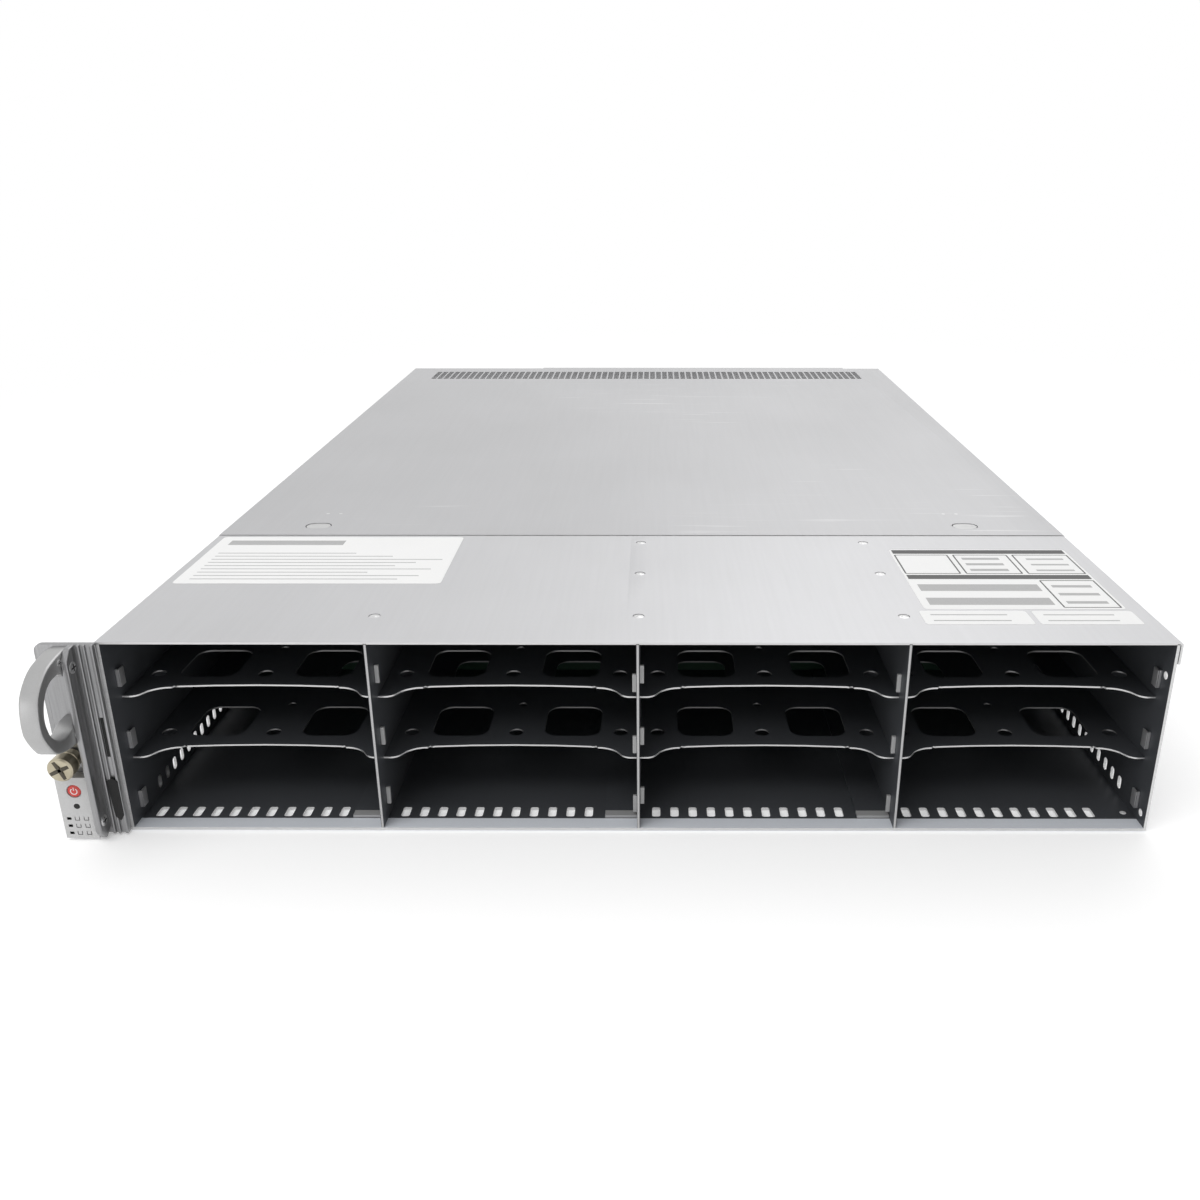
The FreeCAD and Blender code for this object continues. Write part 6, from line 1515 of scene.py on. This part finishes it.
piece("port_panel", panel, "chassis", [rear_painted_shade_zinc, brass, gap_shadow], ["io_panel"])

for name, colour, corners, cut_x, cut_z in FIELDS:
    field = outline([(x, z, 0.0) for x, z in corners])
    if cut_x:
        window(field, cut_x, cut_z)
    thicken(field, 0.15)
    stand(field, "y", PANEL)
    piece(f"label_{name}", field, "chassis", [finish(f"label_{name}", tint(*colour))])
# A slot in the panel, drawn as a dark bar of painted shade.
pit = bmesh.new()
bar(pit, (-47.8, -43.0), (PANEL + 0.1, PANEL + 0.2), (13.6, 15.6))
piece("panel_slot", pit, "chassis", [gap_shadow])

tags = bmesh.new()
for x in LEDGE_STICKERS:
    pad = rounded(x, (PANEL + 3.5, REAR - 3.6), 1.2)
    thicken(pad, 0.12)
    gather(tags, stand(pad, "z", SHEET + 0.12))
    for y, end in ((PANEL + 4.6, 4.0), (PANEL + 7.0, 8.0)):
        bar(tags, (x[0] + 3.0, x[1] - end), (y, y + 0.9), (SHEET + 0.05, SHEET + 0.15), coat=1)
piece("ledge_stickers", tags, "chassis", [paper, pale_ink])

# Network jacks, stacked bus sockets and management jack: warm nickel-plated shields around mouths lined with
# painted shade, the network jacks' shields darkened behind the panel as painted shade, with small amber
# lamps, a blue tongue in the upper socket and gold contacts.
PORT_FACE, PORT_DEPTH, PORT_BODY = PANEL + 1.5, 11.0, 14.0
PORT_LINING = (-PORT_DEPTH + 0.1, -0.3)
CONTACTS = 8
JACK_X, JACK_SIDE, JACK_Z = 43.5, 6.6, 16.3
JACK_MOUTH = ((-3.4, -5.75), (2.9, -5.75), (2.9, -3.0), (6.0, -3.0), (6.0, 3.0), (2.9, 3.0), (2.9, 5.75),
              (-3.4, 5.75))
BUS_SOCKETS = ((24.6, 8.6, -0.4, 2), (13.9, 12.8, 2.7, 0))

shield_shade = mottled((0.62, 0.56, 0.46, 1), (0.80, 0.74, 0.63, 1), 120.0, 4.0, 0.30, 0.15,
                       {"Metallic": 0.55})


def darkened_behind_panel_shade(at):
    skin = shield_shade(at)
    # Painted shade: the shield is made dark where it lies behind the panel.
    behind = at.along("Y") < (PANEL - SHEET) * MM
    skin["Base Color"] = behind.blend(skin["Base Color"], grey(0.05))
    return skin


shield = finish("port_shield", shield_shade)
panel_shadowed_shield = finish("panel_shadowed_shield", darkened_behind_panel_shade)
amber = finish("amber_lens", mottled(
    (0.36, 0.24, 0.012, 1), (0.55, 0.42, 0.03, 1), 500.0, 2.0, 0.2, 0.1, {"Coat Weight": 0.5}))
blue = finish("blue_insert", tint(0.016, 0.024, 0.200))


def facing(bm, x, z, y):
    """Sets a piece made with its face up so that it looks out of the rear."""
    return aim(bm, (x, y, z), (0, 1, 0))


jacks = bmesh.new()
for side in (-1, 1):
    loop = [(side * u, v, 0) for u, v in JACK_MOUTH]
    jack = well(box_loop(13.2, 17.6, 0.3), loop if side > 0 else loop[::-1], PORT_DEPTH, PORT_BODY, 1)
    lined(jack, (-6.3, 6.3), (-6.0, 6.0), PORT_LINING, 1)
    for v in (-7.0, 7.0):
        bar(jack, (side * 4.6 - 1.2, side * 4.6 + 1.2), (v - 1.1, v + 1.1), (-0.4, 0.06), 0.2, coat=2)
    for i in range(CONTACTS):
        v = -3.4 + i * 0.95
        bar(jack, (side * -3.3, side * -2.2)[::side], (v, v + 0.3), (-8.0, -2.5), coat=3)
    gather(jacks, facing(jack, JACK_X - side * JACK_SIDE, JACK_Z, PORT_FACE))
piece("network_jacks", jacks, "chassis", [panel_shadowed_shield, gap_shadow, amber, brass], ["lan_ports"])

bus = bmesh.new()
for z, outer, mouth_z, tongue in BUS_SOCKETS:
    loop = [(u, v + mouth_z, c) for u, v, c in box_loop(14.0, 6.2, 0.4)]
    block = well(box_loop(15.2, outer, 0.3), loop, PORT_DEPTH, PORT_BODY)
    ring = well(box_loop(13.9, 6.1, 0.5), box_loop(13.1, 5.3, 0.4), 10.0, 10.9, 3)
    for face in ring.faces:
        if face.material_index == 0:
            face.material_index = 1
    bmesh.ops.translate(ring, vec=(0, mouth_z, 0.05), verts=ring.verts)
    gather(block, ring)
    bar(block, (-5.8, 5.8), (mouth_z + 0.4, mouth_z + 2.2), (-10.0, -0.2), 0.25, coat=tongue)
    for u in (-3.6, -1.2, 1.2, 3.6):
        bar(block, (u - 0.5, u + 0.5), (mouth_z + 0.15, mouth_z + 0.42), (-8.0, -0.9), coat=1)
    gather(bus, facing(block, 17.5, z, PORT_FACE))
piece("bus_sockets", bus, "chassis", [black, bright, blue, gap_shadow], ["usb_ports"])

loop = [(-5.8, -5.6, 0), (5.8, -5.6, 0), (5.8, 2.8, 0), (3.0, 2.8, 0), (3.0, 6.2, 0), (-3.0, 6.2, 0),
        (-3.0, 2.8, 0), (-5.8, 2.8, 0)]
jack = well(box_loop(16.6, 14.0, 0.3), loop, PORT_DEPTH, PORT_BODY, 1)
lined(jack, (-6.0, 6.0), (-6.0, 6.5), PORT_LINING, 1)
for u in (-6.9, 6.9):
    bar(jack, (u - 0.8, u + 0.8), (3.0, 5.4), (-0.4, 0.06), 0.2, coat=2)
for i in range(CONTACTS):
    u = -3.5 + i * 0.97
    bar(jack, (u, u + 0.3), (-5.5, -4.6), (-8.0, -2.0), coat=3)
facing(jack, -0.3, 14.5, PORT_FACE)
piece("management_jack", jack, "chassis", [shield, gap_shadow, amber, brass], ["mgmt_port"])

# Serial and display connectors: nickel-plated D-shaped shells with a black and a blue insert, flanked by
# hexagonal jack screws. The first has pins and the second has holes.
SHELL_OUTER = [(-8.5, 4.2, 1.6), (-7.2, -4.2, 1.6), (7.2, -4.2, 1.6), (8.5, 4.2, 1.6)]
SHELL_INNER = [(-7.9, 3.65, 1.3), (-6.7, -3.65, 1.3), (6.7, -3.65, 1.3), (7.9, 3.65, 1.3)]
SHELL_TALL, CONTACT_PITCH, NUT_X = 6.0, 2.4, 12.5
PIN = [(0, 0.0), (0.35, -0.05), (0.45, -0.3), (0.45, -4.0), (0, -4.0)]
NUT = [(0, -4.8), (1.3, -4.8), (1.3, -1.0), (2.2, -1.0), (2.6, -1.4), (2.6, -5.8), (0, -5.8)]
SOCKET_HOLE = [(0, 0.02), (0.5, 0.02), (0.55, 0), (0, 0)]
CONNECTORS = (
    ("serial", SERIAL_X, "serial_port", 4.8, ((1.5, 5, 0.0), (-1.5, 4, 0.0)), PIN, -1.2,
     [black, brass, dark_sheet_and_painted_shade]),
    ("display", DISPLAY_X, "vga_port", 0.9, ((1.9, 5, 0.0), (0.0, 5, 0.6), (-1.9, 5, 0.0)), SOCKET_HOLE, -0.9,
     [blue, gap_shadow, shield]),
)
for name, x, node, depth, rows, contact, sunk, finishes in CONNECTORS:
    shell = well(SHELL_OUTER, SHELL_INNER, depth, SHELL_TALL, 1)
    for v, count, shift in rows:
        for i in range(count):
            dot = coated(turned(contact, 8), 2)
            u = (i - (count - 1) / 2) * CONTACT_PITCH + shift
            bmesh.ops.translate(dot, vec=(u, v, sunk), verts=dot.verts)
            gather(shell, dot)
    for u in (-NUT_X, NUT_X):
        nut = turned(NUT, 6)
        bmesh.ops.translate(nut, vec=(u, 0, 0), verts=nut.verts)
        gather(shell, nut)
    rim = well(box_loop(22.0, 11.4, 2.0), box_loop(17.2, 8.6, 1.6), 0.8, 0.9)
    gather(shell, stand(coated(rim, 3), "z", -5.0))
    facing(shell, x, 17.0, PANEL + SHELL_TALL)
    piece(f"{name}_connector", shell, "chassis", [bright, *finishes], [node])

# Network adapter: a cream-coated plate with three patches of small round holes around two plated transceiver
# cages, whose mouths have spring fingers along the top and a lip at the foot. The cages are darkened behind
# the panel and their mouths lined, both with painted shade.
CAGES_X, CAGE_Z = (-37.5, -61.5), 36.6
CAGE_MOUTH = [(-6.9, -4.6, 0), (6.9, -4.6, 0), (6.9, 3.6, 0), (-6.9, 3.6, 0)]
CAGE_DEPTH, CAGE_BODY = 30.0, 40.0
PATCHES, PATCH_PITCH = ((-28.6, 3), (-52.4, 3), (-78.4, 5)), 1.9

cream = finish("cream_coat", mottled(
    (0.60, 0.53, 0.42, 1), (0.70, 0.63, 0.51, 1), 40.0, 4.0, 0.34, 0.12, {"Metallic": 0.3}))
plate = blank((-80.5, -20.5), (29.5, 44.5))
for x in CAGES_X:
    window(plate, (x - 7.5, x + 7.5), (31.5, 41.7))
for first, columns in PATCHES:
    for i in range(columns):
        x, z = first + i * PATCH_PITCH, 31.2 + (i % 2) * 1.05
        vents(plate, (x - 0.94, x + 0.94), (z, z + 10.5), 1, 5, 0.32, 0.6)
thicken(plate, 1.0)
stand(plate, "y", PANEL)
piece("adapter_plate", plate, "chassis", [cream], ["network_panel"])

cages = bmesh.new()
for x in CAGES_X:
    cage = well(box_loop(14.9, 10.1), CAGE_MOUTH, CAGE_DEPTH, CAGE_BODY, 1)
    lined(cage, (-7.0, 7.0), (-4.7, 3.7), (-CAGE_DEPTH + 0.1, -0.5), 1)
    for i in range(6):
        bar(cage, (-6.0 + i * 2.2, -5.0 + i * 2.2), (4.0, 4.7), (-0.3, 0.03), coat=1)
    for side in (-7.2, 7.2):
        for i in range(4):
            bar(cage, (side - 0.15, side + 0.15), (-3.6 + i * 1.9, -2.6 + i * 1.9), (-0.3, 0.03), coat=1)
    bar(cage, (-2.4, 2.4), (-4.9, -4.3), (-0.6, 0.05), 0.15)
    gather(cages, facing(cage, x, CAGE_Z, PANEL + 2.4))
piece("transceiver_cages", cages, "chassis", [panel_shadowed_shield, gap_shadow], ["sfp_cages"])

# Floor, backdrop light and camera: a pale studio floor that glows away from the object, soft light from
# above, in front and behind, and the camera at the photograph's viewpoint, a little above the front edge.
FLOOR_SIZE, FLOOR_DROP = 6.0, 0.0005
AMBIENT = 0.5
CAMERA_PLACE, CAMERA_DOWN, CAMERA_TURN = (0.0062, -0.7324, 0.2650), 21.26, 0.12


def floor_shade(at):
    away = at.node("VectorMath", {"operation": "LENGTH"}, {0: at.stretched(0.5, 0.4, 1.0)}, 1)
    lit = away.ramp(0.18, 0.50)
    return {
        "Base Color": lit.blend(at.noise(3.0).blend(grey(0.88), grey(0.91)), grey(0.0)),
        "Roughness": 0.9,
        "Specular IOR Level": 0.0,
        "Emission Color": lit.blend(grey(0.24), grey(1.0)),
        "Emission Strength": 1.0,
    }


stage = bmesh.new()
bmesh.ops.create_grid(stage, x_segments=1, y_segments=1, size=FLOOR_SIZE)
mesh = bpy.data.meshes.new("studio_floor")
stage.to_mesh(mesh)
stage.free()
mesh.materials.append(finish("studio_floor", floor_shade))
studio_floor = bpy.data.objects.new("studio_floor", mesh)
studio_floor.location.z = -FLOOR_DROP
bpy.context.scene.collection.objects.link(studio_floor)
studio_floor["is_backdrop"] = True

world = bpy.data.worlds.new("studio")
world.use_nodes = True
bpy.context.scene.world = world
background = world.node_tree.nodes["Background"]
background.inputs["Color"].default_value = (1.0, 1.0, 1.0, 1.0)
rays = world.node_tree.nodes.new("ShaderNodeLightPath")
camera_ray, glossy_ray, clear_ray = [Tone(world.node_tree, rays.outputs[f"Is {kind} Ray"])
                                     for kind in ("Camera", "Glossy", "Transmission")]
seen = camera_ray + glossy_ray + clear_ray
strength = seen.math("MINIMUM", seen, 1.0) * (1.0 - AMBIENT) + AMBIENT
world.node_tree.links.new(strength.socket, background.inputs["Strength"])


def lamp(name, power, size, place, target, mirrored):
    light = bpy.data.lights.new(name, "AREA")
    light.energy = power
    light.size = size
    obj = bpy.data.objects.new(name, light)
    obj.location = place
    obj.rotation_euler = (Vector(target) - Vector(place)).to_track_quat("-Z", "Y").to_euler()
    obj.visible_glossy = mirrored
    bpy.context.scene.collection.objects.link(obj)


lamp("key_softbox", 22.0, 1.6, (-0.7, -1.0, 1.8), (0, 0, 0), False)
lamp("ear_strip", 0.8, 0.5, (-0.95, -1.15, 0.22), (-0.23, -0.34, 0.05), True)
lamp("back_softbox", 11.0, 1.6, (0.6, 1.2, 1.8), (0, 0.1, 0), True)

camera = bpy.data.cameras.new("camera")
camera.sensor_width = 36.0
camera.lens = 33.4
camera.shift_x = -0.0425
view = bpy.data.objects.new("camera", camera)
view.location = CAMERA_PLACE
view.rotation_euler = (radians(90 - CAMERA_DOWN), 0, radians(CAMERA_TURN))
bpy.context.scene.collection.objects.link(view)
bpy.context.scene.camera = view
bpy.context.scene.view_settings.view_transform = "Standard"

low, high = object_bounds()
